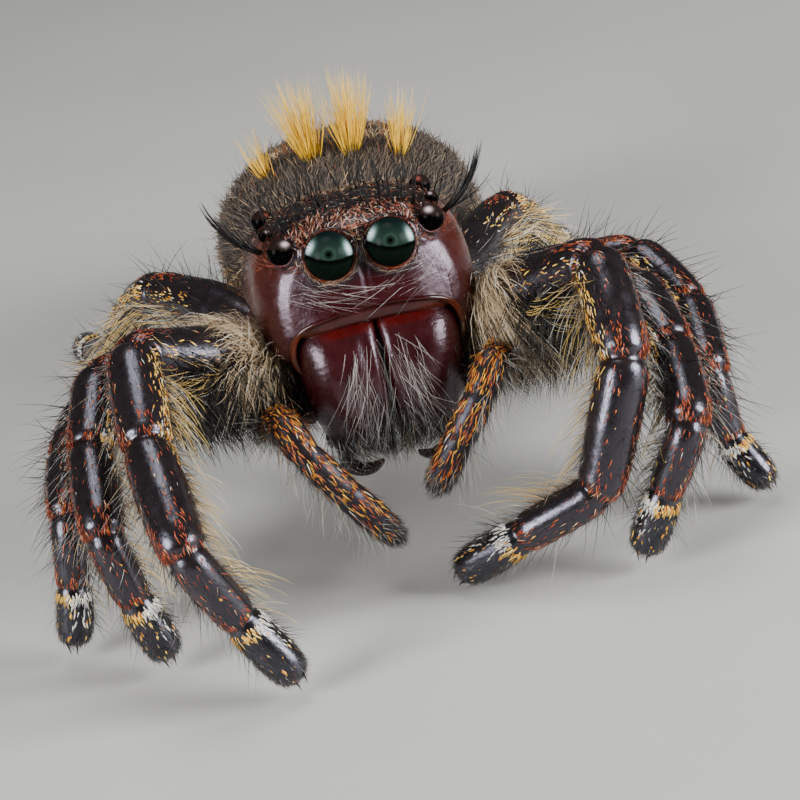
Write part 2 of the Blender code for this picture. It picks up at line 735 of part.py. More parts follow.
def abdomen_locks(coat):
    """Overlapping locks that lie back over the abdomen, and the upright tufts across its front."""
    front, back, across, up = abdomen_frame()
    along = (back - front).normalized()
    plan = ABDOMEN_LOCKS
    step_back, step_round = ABDOMEN_STEPS
    for row in range(plan["rows"]):
        share = plan["first"] + (plan["last"] - plan["first"]) * row / (plan["rows"] - 1)
        girth = 2 * math.pi * ABDOMEN_HALF_WIDTH / MM * outline_at(share)
        count = max(plan["fewest"], round(girth / plan["spacing"]))
        for k in range(count):
            wander = coat.draw.uniform(-plan["wander"], plan["wander"])
            angle = 360 * (k + 0.5 * (row % 2)) / count + wander
            foot = abdomen_point(share, angle)
            ahead = abdomen_point(min(share + step_back, LAST_SHARE), angle)
            lay = (ahead - foot).normalized()
            beside = abdomen_point(share, angle + step_round) - foot
            normal = lay.cross(beside).normalized()
            if normal.dot(foot - front.lerp(back, share)) < 0:
                normal.negate()
            coat.add(
                "abdomen", foot - normal * plan["foot"] * MM, normal, lay,
                plan["length"] * MM * coat.draw.uniform(*TUFT_LENGTHS), plan["width"] * MM,
                plan["lean"], plan["sunk"] * MM,
            )
    for out in TUFTS["around"]:
        turned = math.degrees(out * MM / ABDOMEN_HALF_HEIGHT) * TUFTS["closer"]
        foot = abdomen_point(TUFTS["share"], 90 - turned)
        stem = (up - along * TUFTS["lean"] + across * out * TUFTS["splay"]).normalized()
        for turn in TUFTS["fan"]:
            lean = math.radians(turn)
            way = (stem * math.cos(lean) + across * math.sin(lean)).normalized()
            lean_back = math.radians(coat.draw.uniform(-TUFTS["sway"], TUFTS["sway"]))
            way = (way * math.cos(lean_back) + along * math.sin(lean_back)).normalized()
            reach = TUFTS["length"] * MM * coat.draw.uniform(*TUFT_LENGTHS)
            root = foot + across * turn * TUFTS["root_spread"] * MM
            path = [root - way * TUFTS["sunk"] * MM] + [root + way * reach * t for t in TUFT_RINGS]
            coat.keep("abdomen", path, across, TUFTS["width"] * MM)


def outline_at(share):
    """The abdomen's width at a share of its length, as a share of the widest."""
    for (a, wide_a), (b, wide_b) in zip(ABDOMEN_OUTLINE, ABDOMEN_OUTLINE[1:]):
        if a <= share <= b:
            return wide_a + (wide_b - wide_a) * (share - a) / (b - a)
    return ABDOMEN_OUTLINE[-1][1]


def brow_locks(coat):
    """A bristly tuft beside each outer front eye, sweeping up and out."""
    for side in (1, -1):
        root, tip = front_point(BROWS["place"], side), front_point(BROWS["tip"], side)
        way = tip - root
        for turn in BROWS["fan"]:
            aside = Vector((0, turn, 0)) * MM
            path = [root - way * BROWS["sunk"] + aside * BROWS["root_fan"]] + [
                root + way * t + aside * (BROWS["ring_fan"] + t) for t in TUFT_RINGS
            ]
            coat.keep("carapace", path, Vector((0, 1, 0)), BROWS["width"] * MM)


def grow_coat(collection):
    """The long coat, fused to the nodes that it grows from."""
    coat = Coat(collection)
    brow_locks(coat)
    for tag in POSE:
        side = 1 if tag[0] == "L" else -1
        points, radii = leg_stations(tag)
        for piece, first, end in LEG_PIECES:
            node = f"leg_{tag}_{piece}"
            limb_locks(coat, node, points[first:end], radii[first:end], LEG_LOCKS[piece], side)
    for side, tag in ((1, "L"), (-1, "R")):
        points = [front_point(place, side) for place in PALP_LOWER[tag]]
        radii = [radius * MM for radius in PALP_LOWER_RADII]
        limb_locks(coat, f"palp_lower_{tag}", points, radii, PALP_LOCKS, side)
    abdomen_locks(coat)
    coat.fuse()


def centre_on_floor(collection):
    """Moves everything so that the box's middle stands over the origin."""
    corners = [vert.co for obj in collection.objects for vert in obj.data.vertices]
    low = [min(corner[i] for corner in corners) for i in range(2)]
    high = [max(corner[i] for corner in corners) for i in range(2)]
    shift = Matrix.Translation((-(low[0] + high[0]) / 2, -(low[1] + high[1]) / 2, 0))
    for obj in collection.objects:
        obj.data.transform(shift)


def main():
    for obj in list(bpy.data.objects):
        bpy.data.objects.remove(obj)
    collection = bpy.data.collections.new("jumping_spider")
    bpy.context.scene.collection.children.link(collection)
    make_head(collection)
    make_abdomen(collection)
    for tag in POSE:
        make_leg(tag, collection)
    grow_coat(collection)
    centre_on_floor(collection)


main()
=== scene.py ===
"""The looks of the giant jumping spider, life size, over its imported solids.

Sizes are in millimetres, in the spider's own frame: it faces -Y, its left is +X, +Z is up.
The front half is drawn level and then tipped nose up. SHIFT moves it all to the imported
model's place. Every skin is a grid of rows along a form and columns round it, and the coat
is grown from places on those grids.
"""

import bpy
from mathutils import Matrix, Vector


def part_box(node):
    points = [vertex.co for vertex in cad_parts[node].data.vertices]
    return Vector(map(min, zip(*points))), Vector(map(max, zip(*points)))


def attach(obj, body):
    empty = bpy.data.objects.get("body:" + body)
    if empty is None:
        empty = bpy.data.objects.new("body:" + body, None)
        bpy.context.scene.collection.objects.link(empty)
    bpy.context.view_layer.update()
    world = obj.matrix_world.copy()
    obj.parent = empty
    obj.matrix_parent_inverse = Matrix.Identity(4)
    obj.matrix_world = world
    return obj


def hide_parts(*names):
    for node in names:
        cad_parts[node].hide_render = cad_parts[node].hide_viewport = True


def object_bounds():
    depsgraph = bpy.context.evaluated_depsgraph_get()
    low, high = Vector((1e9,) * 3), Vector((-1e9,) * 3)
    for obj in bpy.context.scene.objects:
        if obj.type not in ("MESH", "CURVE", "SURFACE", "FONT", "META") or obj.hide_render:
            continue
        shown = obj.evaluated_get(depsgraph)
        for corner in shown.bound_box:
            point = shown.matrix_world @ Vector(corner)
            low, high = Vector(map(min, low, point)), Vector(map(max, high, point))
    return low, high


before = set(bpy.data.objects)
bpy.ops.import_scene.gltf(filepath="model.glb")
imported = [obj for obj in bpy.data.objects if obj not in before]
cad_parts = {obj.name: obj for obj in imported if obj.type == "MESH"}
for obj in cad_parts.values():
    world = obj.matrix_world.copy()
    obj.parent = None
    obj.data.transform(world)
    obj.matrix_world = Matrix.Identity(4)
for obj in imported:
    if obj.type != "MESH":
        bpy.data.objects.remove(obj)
cad_bounds = [list(corner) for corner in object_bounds()]

import math

import bpy
import numpy as np
from mathutils import Matrix

MM = 0.001
UPWARD = (0.0, 0.0, 1.0)
SIDES = {"L": 1, "R": -1}
RNG = np.random.default_rng(11)
# Side of each tuft's patch on the unrolled square, and the coat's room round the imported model
PATCH = 0.003
COAT_ROOM = np.array((0.45, 0.65, 0.25))
FLOOR_CLEARANCE = 0.01
# How deep each tuft is rooted, and how much the tufts of a batch differ in width
ROOT_DEPTH = 0.02
WIDTH_SPREAD = (0.8, 1.2)
SHADE_SPREAD = (0.75, 1.2)
LIMB_COLUMNS = 44
# How near a dome comes to its pole, as a share of a quarter turn
DOME_END = 0.985

# Front half of the body, about its own middle. The shield: back, half width, top, bottom
FRONT_HEIGHT = 6.5
NOSE_UP = math.radians(8.0)
# How square the shield is across, and how far up it is widest
HEAD_POWER = 2.6
WIDEST = 0.24
CARAPACE_STATIONS = (
    (-4.16, 1.90, 1.00, -1.30), (-4.04, 2.16, 1.28, -1.62), (-3.70, 2.40, 1.45, -1.84),
    (-3.15, 2.54, 1.57, -1.52), (-2.45, 2.62, 1.63, -1.34), (-1.10, 2.66, 1.62, -1.26),
    (0.30, 2.68, 1.20, -1.26), (1.80, 2.56, 0.62, -1.30), (3.20, 2.16, 0.00, -1.34),
    (3.95, 1.65, -0.38, -1.38), (4.20, 1.05, -0.68, -1.30),
)
# The face's lower edge, from the middle out and down beside a jaw
LIP = (
    (0.00, -4.10, -0.62), (0.60, -4.10, -0.65), (1.20, -4.07, -0.74), (1.65, -3.92, -0.90),
    (1.90, -3.78, -1.15), (1.98, -3.70, -1.42), (1.96, -3.66, -1.70), (1.88, -3.64, -1.95),
)
# Distances across: where the face's edge falls away, and the end of the band under it
CHEEK_EDGE = 2.04
BAND_HALF = 1.86
# Side walls between the shield and the hips: back, half width, top, bottom
WALL_STATIONS = (
    (-2.95, 1.80, -0.9, -1.95), (-2.40, 2.25, -0.9, -2.20), (-1.60, 2.56, -0.9, -2.30),
    (-0.40, 2.72, -0.9, -2.30), (0.90, 2.72, -0.9, -2.30), (2.40, 2.35, -1.0, -2.25),
    (3.50, 1.55, -1.1, -1.95), (3.85, 1.00, -1.15, -1.70),
)
WALL_POWER = 3.0
STERNUM = {"middle": (0.0, 0.9, -2.1), "half": (0.82, 2.3, 0.72)}
# Out, back, up and radius of each kind of eye
EYES = {
    "AM": (0.715, -4.05, 0.70, 0.58),
    "AL": (1.77, -3.62, 0.95, 0.31),
    "PM": (1.98, -2.45, 1.17, 0.16),
    "PL": (1.90, -1.10, 1.24, 0.27),
}
# A jaw: out, back, up, half width, half depth
CHELICERA_STATIONS = (
    (0.98, -3.20, -0.86, 0.66, 0.56), (0.99, -3.24, -1.02, 0.76, 0.68), (1.00, -3.28, -1.20, 0.83, 0.80),
    (1.01, -3.33, -1.45, 0.885, 0.89), (1.01, -3.38, -1.80, 0.91, 0.95),
    (1.00, -3.40, -2.25, 0.905, 0.97), (0.98, -3.37, -2.75, 0.87, 0.93), (0.93, -3.26, -3.25, 0.80, 0.82),
    (0.88, -3.06, -3.88, 0.62, 0.60), (0.85, -2.96, -4.08, 0.36, 0.36),
)
# Powers of a jaw's section on its outer side and where the two meet, and its inner edge:
# height and distance from the middle
JAW_POWERS = (2.1, 5.5)
JAW_INNER = ((-4.08, 0.22), (-3.3, 0.035), (-2.4, 0.018))
FANG = (
    (1.10, -2.92, -3.92), (1.22, -2.92, -4.32), (1.08, -2.95, -4.58), (0.74, -2.95, -4.68),
    (0.40, -2.90, -4.56),
)
FANG_PROFILE = ((0, 0.22), (0.2, 0.24), (0.45, 0.21), (0.8, 0.13), (0.97, 0.06), (1.0, 0.02))
PALP_UPPER = ((1.35, -1.30, -3.15), (2.35, -1.85, -3.35), (2.78, -2.95, -3.15))
PALP_LOWER = {
    "R": ((2.62, -4.70, -2.66), (2.30, -5.15, -3.40), (1.55, -5.00, -4.55), (0.50, -4.55, -6.10)),
    "L": ((2.44, -4.75, -2.26), (1.92, -5.20, -2.95), (1.25, -5.05, -3.90), (0.42, -4.70, -5.10)),
}

# Back half of the body
ABDOMEN_FRONT = np.array((0.15, 5.05, 4.05))
ABDOMEN_BACK = np.array((1.65, 15.60, 2.90))
ABDOMEN_HALF = (3.46, 2.41)
ABDOMEN_POWER = 2.15
ABDOMEN_LENGTH = 10.7
# Golden tufts: distance across, hairs and share of full height; how wide each root is
TUFTS = ((-1.8, 34, 0.62), (-0.6, 170, 1.0), (0.6, 170, 1.0), (1.8, 70, 0.82))
TUFT_ROOT = 0.11
# Where their row stands, as a share of the way back
TUFT_SHARE = 0.33
# Share of the way back and share of full width
ABDOMEN_OUTLINE = (
    (0.004, 0.22), (0.035, 0.46), (0.10, 0.68), (0.20, 0.86), (0.32, 0.96), (0.45, 1.00), (0.58, 0.97),
    (0.70, 0.88), (0.81, 0.72), (0.90, 0.52), (0.96, 0.34), (0.996, 0.18),
)

# Legs: root of the coxa, hip, then femur, patella, tibia, metatarsus and tarsus
HIPS = {1: (2.3, -1.9, -2.0), 2: (2.8, -0.4, -2.1), 3: (2.8, 1.1, -2.1), 4: (2.3, 2.5, -2.0)}
COXA_ROOTS = {1: (1.35, -1.15, -2.2), 2: (1.4, -0.15, -2.2), 3: (1.4, 1.15, -2.2), 4: (1.3, 2.3, -2.2)}
SEGMENTS = {
    1: (4.65, 2.7, 3.1, 2.1, 1.95),
    2: (4.3, 2.4, 2.6, 1.8, 1.65),
    3: (4.3, 2.1, 2.4, 1.65, 1.45),
    4: (4.4, 2.1, 3.0, 2.5, 1.7),
}
POSE = {
    "R1": {"heading": (52, 3, -5, -110, -77), "rise": (26, -30, -29, -64)},
    "R2": {"heading": (62, 14, 3, -122, -76), "rise": (16, -22, -23, -77)},
    "R3": {"heading": (71, 20, 6, 55, 55), "rise": (-1, -10, -9, -80)},
    "R4": {"heading": (150, 155, 160, 168, 172), "rise": (2, -28, -42, -13)},
    "L1": {"heading": (42, -2, -77, -107, -118), "rise": (25, -38, -68, -24)},
    "L2": {"heading": (52, 7, -6, -106, -110), "rise": (9, -21, -18, -62)},
    "L3": {"heading": (66, 26, -5, 50, 50), "rise": (10, -27, -21, -84)},
    "L4": {"heading": (150, 155, 160, 168, 172), "rise": (2, -28, -42, -13)},
}
TOE_HEIGHT = 0.42
LEG_THICKNESS = {1: 1.0, 2: 0.93, 3: 0.86, 4: 0.88}
LEG_PIECES = ("femur", "patella", "tibia", "foot")
# Station down the leg (0 coxa, 1 femur, 2 patella, 3 tibia, 4 metatarsus, 5 tarsus) and radius
LEG_PROFILE = (
    (0.00, 0.42), (0.12, 0.52), (0.55, 0.55), (0.78, 0.51), (0.84, 0.40), (0.90, 0.46), (1.00, 0.40),
    (1.06, 0.47), (1.20, 0.63), (1.40, 0.77), (1.55, 0.76), (1.75, 0.66), (1.92, 0.60), (1.97, 0.58),
    (2.00, 0.43), (2.05, 0.57), (2.15, 0.62), (2.50, 0.64), (2.80, 0.61), (2.95, 0.58), (3.00, 0.42),
    (3.04, 0.55), (3.15, 0.59), (3.50, 0.61), (3.80, 0.57), (3.94, 0.55), (3.98, 0.52), (4.00, 0.37),
    (4.05, 0.46), (4.20, 0.47), (4.50, 0.48), (4.85, 0.46), (4.95, 0.44), (5.00, 0.35), (5.06, 0.42),
    (5.20, 0.46), (5.50, 0.48), (5.75, 0.465), (5.90, 0.40), (5.96, 0.31), (5.995, 0.14),
)
# The same down a palp: 0 coxa, 1 femur, 2 the bend, 3 patella, 4 tibia, 5 tarsus
PALP_PROFILE = (
    (0.00, 0.30), (0.10, 0.38), (0.80, 0.42), (1.00, 0.37), (1.10, 0.42), (1.80, 0.43), (2.60, 0.39),
    (2.94, 0.36), (3.00, 0.31), (3.08, 0.38), (3.60, 0.39), (3.93, 0.37), (4.00, 0.31), (4.08, 0.36),
    (4.60, 0.38), (4.94, 0.37), (5.00, 0.32), (5.06, 0.36), (5.40, 0.38), (5.75, 0.35), (5.90, 0.28),
    (5.97, 0.19), (5.995, 0.10),
)

# Claws: share of the way down the leg, length, half width and its share at each ring
CLAW_STATION = 0.992
CLAW_LENGTH = 0.24
CLAW_HALF = 0.035
CLAW_TAPER = (1.0, 0.9, 0.75, 0.55, 0.3)

# Colours, linear
BLACK = (0.006, 0.005, 0.005)
SOOT = (0.016, 0.012, 0.011)
CUTICLE = (0.009, 0.006, 0.006)
RUSSET = (0.047, 0.0095, 0.004)
MAROON = (0.026, 0.0022, 0.0028)
BLOOD = (0.047, 0.0013, 0.0007)
AMBER = (0.26, 0.045, 0.006)
COPPER = (0.42, 0.12, 0.05)
SCALE_RED = (0.42, 0.050, 0.012)
SCALE_ORANGE = (0.74, 0.19, 0.015)
SCALE_YELLOW = (0.88, 0.45, 0.035)
CREAM = (0.86, 0.70, 0.45)
TAN = (0.46, 0.29, 0.145)
ROSY = (0.78, 0.50, 0.42)
UMBER = (0.175, 0.132, 0.098)
DUSK = (0.070, 0.052, 0.040)
WHITE = (0.80, 0.80, 0.76)
ASH = (0.24, 0.23, 0.21)
GOLD = (0.80, 0.44, 0.030)
STRAW = (0.92, 0.66, 0.15)
YELLOW = (0.92, 0.58, 0.045)


def unit(vectors):
    """Vectors of length one."""
    return vectors / np.maximum(np.linalg.norm(vectors, axis=-1, keepdims=True), 1e-12)


def square_to(vectors, ways):
    """Of length one, along the part of vectors that is square to unit ways."""
    return unit(vectors - ways * np.sum(vectors * ways, axis=-1, keepdims=True))


def heading(path):
    """The way ahead at each place of a path."""
    return unit(np.gradient(path, axis=0))


def split(places):
    """The x, y and z of places."""
    return np.moveaxis(np.asarray(places, float), -1, 0)


def clamp(values):
    """Values held between 0 and 1."""
    return np.clip(values, 0, 1)


def front_points(level):
    """Places in the front half's level frame, in the spider's frame."""
    x, y, z = split(level)
    c, s = math.cos(NOSE_UP), math.sin(NOSE_UP)
    return np.stack((x, y * c + z * s, z * c - y * s + FRONT_HEIGHT), axis=-1)


def level_points(places):
    """The way back: places in the spider's frame, in the front half's level frame."""
    x, y, z = split(places)
    c, s = math.cos(NOSE_UP), math.sin(NOSE_UP)
    z = z - FRONT_HEIGHT
    return np.stack((x, y * c - z * s, z * c + y * s), axis=-1)


def eye_centre(kind, side):
    out, back, up, _ = EYES[kind]
    return front_points((side * out, back, up))


def shift_to_frame():
    """From the spider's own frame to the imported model's, in metres."""
    packed = [np.mean(np.array(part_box(f"eye_AM_{tag}")), axis=0) for tag in "LR"]
    drawn = [eye_centre("AM", side) for side in (1, -1)]
    return np.mean(packed, axis=0) - np.mean(drawn, axis=0) * MM


SHIFT = shift_to_frame()
COAT_LOW = (np.array(cad_bounds[0]) - SHIFT) / MM - COAT_ROOM
COAT_HIGH = (np.array(cad_bounds[1]) - SHIFT) / MM + COAT_ROOM


def smooth_rows(rows, count):
    """Rows of numbers read at even steps along a curve through the given rows."""
    rows = np.asarray(rows, float)
    at = np.linspace(0, len(rows) - 1, count)
    i = np.minimum(at.astype(int), len(rows) - 2)
    t = (at - i)[:, None]
    p0, p1, p2, p3 = (rows[np.clip(i + k, 0, len(rows) - 1)] for k in (-1, 0, 1, 2))
    return 0.5 * (
        2 * p1 + (p2 - p0) * t + (2 * p0 - 5 * p1 + 4 * p2 - p3) * t**2
        + (3 * p1 - p0 - 3 * p2 + p3) * t**3
    )


def turns(columns):
    """Angles of even steps once round a ring."""
    return 2 * math.pi * np.arange(columns) / columns


def superellipse(columns, power):
    """Points round the unit superellipse."""
    c, s = np.cos(turns(columns)), np.sin(turns(columns))
    return np.sign(c) * np.abs(c) ** (2 / power), np.sign(s) * np.abs(s) ** (2 / power)


def ball_grid(rows, columns, edge):
    """Places on the unit ball, from its front pole to its back one."""
    polar, turn = np.linspace(edge, math.pi - edge, rows)[:, None], turns(columns)[None]
    across, up = np.sin(polar) * np.cos(turn), np.sin(polar) * np.sin(turn)
    return np.stack((across, -np.cos(polar) * np.ones_like(turn), up), axis=-1)


def level_rule(rule):
    """A weight for roots, from a rule of x, y and z in the front half's level frame."""
    return lambda key, b, places: rule(*split(level_points(places)))


def window(values, low, high, soft=0.05):
    """One inside the range, falling to nothing over its soft edges."""
    rise = clamp((values - low) / soft + 0.5)
    return rise * clamp((high - values) / soft + 0.5)


def ease(share):
    """A share that starts and ends gently."""
    return share * share * (3 - 2 * share)


def sector(b, centre, half, soft=0.04):
    """One within half a width of a place round the form, where b runs from 0 to 1."""
    apart = np.abs((b - centre + 0.5) % 1 - 0.5)
    return clamp((half - apart) / soft + 0.5)


def stripe(along, around):
    """A weight for a stripe down a limb: one between two stations, part of the way round."""
    return lambda key, b, places: window(key, *along) * sector(b, *around)


def mix(a, b, share):
    """Colours between a and b."""
    share = np.asarray(share)[..., None]
    return np.asarray(a) * (1 - share) + np.asarray(b) * share


def layers(colour, *over):
    """A colour with others laid over it, each by its share."""
    for tint, share in over:
        colour = mix(colour, tint, share)
    return colour


class Skin:
    """A closed form as a grid of places: rows along it, columns round it."""

    def __init__(self, grid, key=None):
        self.grid = np.asarray(grid, float)
        self.rows, self.columns = self.grid.shape[:2]
        self.key = np.linspace(0, 1, self.rows) if key is None else np.asarray(key)
        self.measure()

    def measure(self):
        """Directions and areas at each place, again after the grid has been shaped."""
        along = np.gradient(self.grid, axis=0)
        around = (np.roll(self.grid, -1, 1) - np.roll(self.grid, 1, 1)) / 2
        normal = np.cross(along, around)
        middle = self.grid.mean(axis=(0, 1))
        self.inverted = np.sum(normal * (self.grid - middle)) < 0
        self.area = np.linalg.norm(normal, axis=-1)
        self.normal = unit(-normal if self.inverted else normal)
        self.along = unit(along)

    def push(self, amount):
        """Moves each place along its normal."""
        self.grid = self.grid + self.normal * np.asarray(amount)[..., None]
        self.measure()

    def read(self, values, a, b):
        """Values of the grid at shares a along it and b round it."""
        x = clamp(a) * (self.rows - 1)
        y = (b % 1) * self.columns
        i, j = np.minimum(x.astype(int), self.rows - 2), y.astype(int) % self.columns
        fx, fy, k = (x - i)[:, None], (y % 1)[:, None], (j + 1) % self.columns
        low = values[i, j] * (1 - fy) + values[i, k] * fy
        high = values[i + 1, j] * (1 - fy) + values[i + 1, k] * fy
        return low * (1 - fx) + high * fx

    def scatter(self, count, weight=None):
        """Roots spread evenly over the skin, or by a weight of key, b and place."""
        key = np.repeat(self.key[:, None], self.columns, 1)
        b = np.tile(np.arange(self.columns) / self.columns, (self.rows, 1))
        share = self.area if weight is None else self.area * weight(key, b, self.grid)
        total = np.cumsum(share.ravel())
        step = (np.arange(count) + RNG.random(count)) / count
        row, column = np.divmod(np.searchsorted(total / total[-1], step), self.columns)
        a = (row + RNG.uniform(-0.5, 0.5, count)) / (self.rows - 1)
        return Roots(self, clamp(a), (column + RNG.uniform(-0.5, 0.5, count)) / self.columns)

    def show(self, name, colours, look, slot, *nodes):
        """The skin as a piece, with a flat face over each end. One colour does for all places,
        or one for each row or place."""
        index = np.arange(self.rows * self.columns).reshape(self.rows, self.columns)
        beside = np.roll(index, -1, 1)
        quads = np.stack((index[:-1], beside[:-1], beside[1:], index[1:]), axis=-1).reshape(-1, 4)
        ends = np.stack((index[0, ::-1], index[-1]))
        if not self.inverted:
            quads, ends = quads[:, ::-1], ends[:, ::-1]
        tints = np.broadcast_to(colours, self.grid.shape).reshape(-1, 3)
        obj = mesh_object(name, self.grid.reshape(-1, 3), (quads, ends), tints)
        place_piece(obj, look, slot, *nodes)


class Roots:
    """Places on a skin where tufts grow, at shares a along it and b round it."""

    def __init__(self, skin, a, b):
        self.a, self.b = a, b % 1
        self.place = skin.read(skin.grid, a, b)
        self.normal = unit(skin.read(skin.normal, a, b))
        self.along = square_to(skin.read(skin.along, a, b), self.normal)
        self.side = np.cross(self.normal, self.along)
        self.count = len(a)


def mesh_object(name, places, polygons, colours, uvs=None):
    """A smooth mesh from places in the spider's frame and arrays of equal polygons."""
    mesh = bpy.data.meshes.new(name)
    corners = np.concatenate([block.ravel() for block in polygons]).astype(np.int32)
    sizes = np.concatenate([np.full(len(block), block.shape[1]) for block in polygons])
    starts = np.concatenate(([0], np.cumsum(sizes)[:-1])).astype(np.int32)
    mesh.vertices.add(len(places))
    mesh.vertices.foreach_set("co", (places * MM + SHIFT).astype(np.float32).ravel())
    mesh.loops.add(len(corners))
    mesh.loops.foreach_set("vertex_index", corners)
    mesh.polygons.add(len(starts))
    mesh.polygons.foreach_set("loop_start", starts)
    mesh.update(calc_edges=True)
    mesh.shade_smooth()
    tint = mesh.attributes.new("tint", "FLOAT_COLOR", "POINT")
    opaque = np.concatenate((colours, np.ones((len(places), 1))), axis=1)
    tint.data.foreach_set("color", opaque.astype(np.float32).ravel())
    if uvs is not None:
        layer = mesh.uv_layers.new(name="OFBake")
        layer.data.foreach_set("uv", uvs[corners].astype(np.float32).ravel())
    obj = bpy.data.objects.new(name, mesh)
    bpy.context.scene.collection.objects.link(obj)
    return obj


def place_piece(obj, look, slot, *nodes):
    """Gives a piece its finish and its body, and hides the imported nodes that it stands for; its slot is
    not used.
    """
    obj.data.materials.append(FINISHES[look])
    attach(obj, "root")
    if nodes:
        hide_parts(*nodes)


class Coat:
    """Many small closed tufts that end up as one mesh."""

    def __init__(self, name, skin, cells=1):
        self.name, self.skin, self.cells, self.cell = name, skin, cells, 0
        self.places, self.colours, self.uvs, self.polygons = [], [], [], {3: [], 4: []}
        self.total = 0

    def next_skin(self, skin):
        """Later tufts grow on another skin and take the next strip of the unrolled square."""
        self.skin = skin
        self.cell += 1

    def add(self, roots, path, across, wide, thick, root_colour, tip_colour, corners):
        """Tufts along paths of count x (rings + tip) places, with half widths at the rings.
        A tuft that would leave the coat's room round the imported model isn't grown."""
        kept = np.all((path > COAT_LOW) & (path < COAT_HIGH), axis=(1, 2))
        path, across, wide, thick = path[kept], across[kept], wide[kept], thick[kept]
        root_colour, tip_colour = root_colour[kept], tip_colour[kept]
        count, rings = path.shape[0], path.shape[1] - 1
        ahead = unit(np.diff(path, axis=1))
        beside = square_to(across[:, None], ahead)
        face = np.cross(ahead, beside)
        angle = turns(corners)
        shape = (
            beside[:, :, None] * (np.cos(angle) * wide[..., None])[..., None]
            + face[:, :, None] * (np.sin(angle) * thick[..., None])[..., None]
        )
        body = (path[:, :-1, None] + shape).reshape(count, rings * corners, 3)
        places = np.concatenate((body, path[:, -1:]), axis=1)
        share = np.append(np.repeat(np.arange(rings) / rings, corners), 1.0)[None, :, None]
        colour = root_colour[:, None] * (1 - share) + tip_colour[:, None] * share
        self.places.append(places.reshape(-1, 3))
        self.colours.append(colour.reshape(-1, 3))
        over = np.append(np.tile(np.cos(angle), rings), 0)
        self.uvs.append(self.patches(roots.a[kept], roots.b[kept], share[0, :, 0], over))
        self.index(count, rings, corners)

    def patches(self, a, b, share, over):
        """Each tuft's own small patch at its root's place on the unrolled skin."""
        room, strip = 1 - 4 * PATCH, (1 - 4 * PATCH) / self.cells
        u = 2 * PATCH + b[:, None] * room + over * PATCH / 2
        v = 2 * PATCH + (self.cell + clamp(a)[:, None]) * strip + (share - 0.5) * PATCH
        return np.stack((u, v), axis=-1).reshape(-1, 2)

    def index(self, count, rings, corners):
        """The polygons of one batch of tufts."""
        ring = np.arange(corners)
        after = (ring + 1) % corners
        step = corners * np.arange(rings - 1)[:, None]
        sides = np.stack((ring + step, after + step, after + step + corners, ring + step + corners), axis=-1)
        last = corners * (rings - 1)
        tip = np.stack((ring + last, after + last, np.full(corners, rings * corners)), axis=-1)
        base = self.total + (rings * corners + 1) * np.arange(count)[:, None, None]
        self.polygons[4].append((base + sides.reshape(1, -1, 4)).reshape(-1, 4))
        self.polygons[3].append((base + tip[None]).reshape(-1, 3))
        self.polygons[corners].append((base + ring[::-1][None, None]).reshape(-1, corners))
        self.total += (rings * corners + 1) * count

    def finish(self, look, slot):
        """One piece from all the batches."""
        places = np.concatenate(self.places)
        places[:, 2] = np.maximum(places[:, 2], FLOOR_CLEARANCE)
        polygons = [np.concatenate(blocks) for blocks in self.polygons.values() if blocks]
        colours, uvs = np.concatenate(self.colours), np.concatenate(self.uvs)
        place_piece(mesh_object(self.name, places, polygons, colours, uvs), look, slot)

    def sow(self, count, where, colours, length, width, **shape):
        """Tufts from roots scattered over the skin by a weight."""
        grow(self, self.skin.scatter(count, where), colours, length, width, **shape)


# Share of full width at each ring of a tuft, by its kind
TAPER = {
    "hair": (1.0, 0.9, 0.72, 0.5, 0.3),
    "scale": (0.45, 1.0, 0.8),
    "lock": (0.7, 1.0, 0.85, 0.5),
}


def spread(middle, around, count):
    """Random numbers about a middle."""
    return middle + around * RNG.standard_normal(count)


def grow(
    coat, roots, colours, length, width, lean=(30, 8), turn=(0, 12), bend=0.3, droop=0.0,
    kind="hair", rings=3, flat=1.0, lay=None, wave=0.0,
):
    """Tufts from roots. Lean is degrees off the skin, turn degrees off the lay, bend how far
    the tip falls back to the skin and droop how far it falls to the floor, in lengths. The
    lay is a direction, one for each root, or a rule that finds them from the roots."""
    count = roots.count
    if lay is None:
        lay = roots.along
    elif callable(lay):
        lay = lay(roots)
    lay = square_to(lay, roots.normal)
    yaw = np.radians(spread(*turn, count))[:, None]
    lay = lay * np.cos(yaw) + np.cross(roots.normal, lay) * np.sin(yaw)
    tilt = np.radians(spread(*lean, count))[:, None]
    aim = lay * np.cos(tilt) + roots.normal * np.sin(tilt)
    reach = RNG.uniform(*length, count)[:, None, None]
    t = np.linspace(0, 1, rings + 1)[None, :, None]
    fall = np.cross(np.cross(aim, lay), aim) * bend - roots.normal * bend * 0.35
    fall = fall + np.array((0.0, 0.0, -1.0)) * droop
    across = unit(np.cross(roots.normal, aim) + 1e-6)
    swing = across * (wave * RNG.uniform(-1, 1, count))[:, None]
    path = roots.place[:, None] - roots.normal[:, None] * ROOT_DEPTH
    path = path + reach * (aim[:, None] * t + fall[:, None] * t**2 + swing[:, None] * np.sin(t * 4.5))
    taper = np.interp(np.arange(rings) / rings, np.linspace(0, 0.8, len(TAPER[kind])), TAPER[kind])
    wide = taper * RNG.uniform(*WIDTH_SPREAD, (count, 1)) * width / 2
    shares = np.array([row[0] for row in colours], float)
    pick = RNG.choice(len(colours), count, p=shares / shares.sum())
    bright = RNG.uniform(*SHADE_SPREAD, (count, 1))
    root_colour = np.array([row[1] for row in colours])[pick] * bright
    tip_colour = np.array([row[-1] for row in colours])[pick] * bright
    corners = 4 if kind == "scale" else 3
    coat.add(roots, path, across, wide, wide * flat, root_colour, tip_colour, corners)


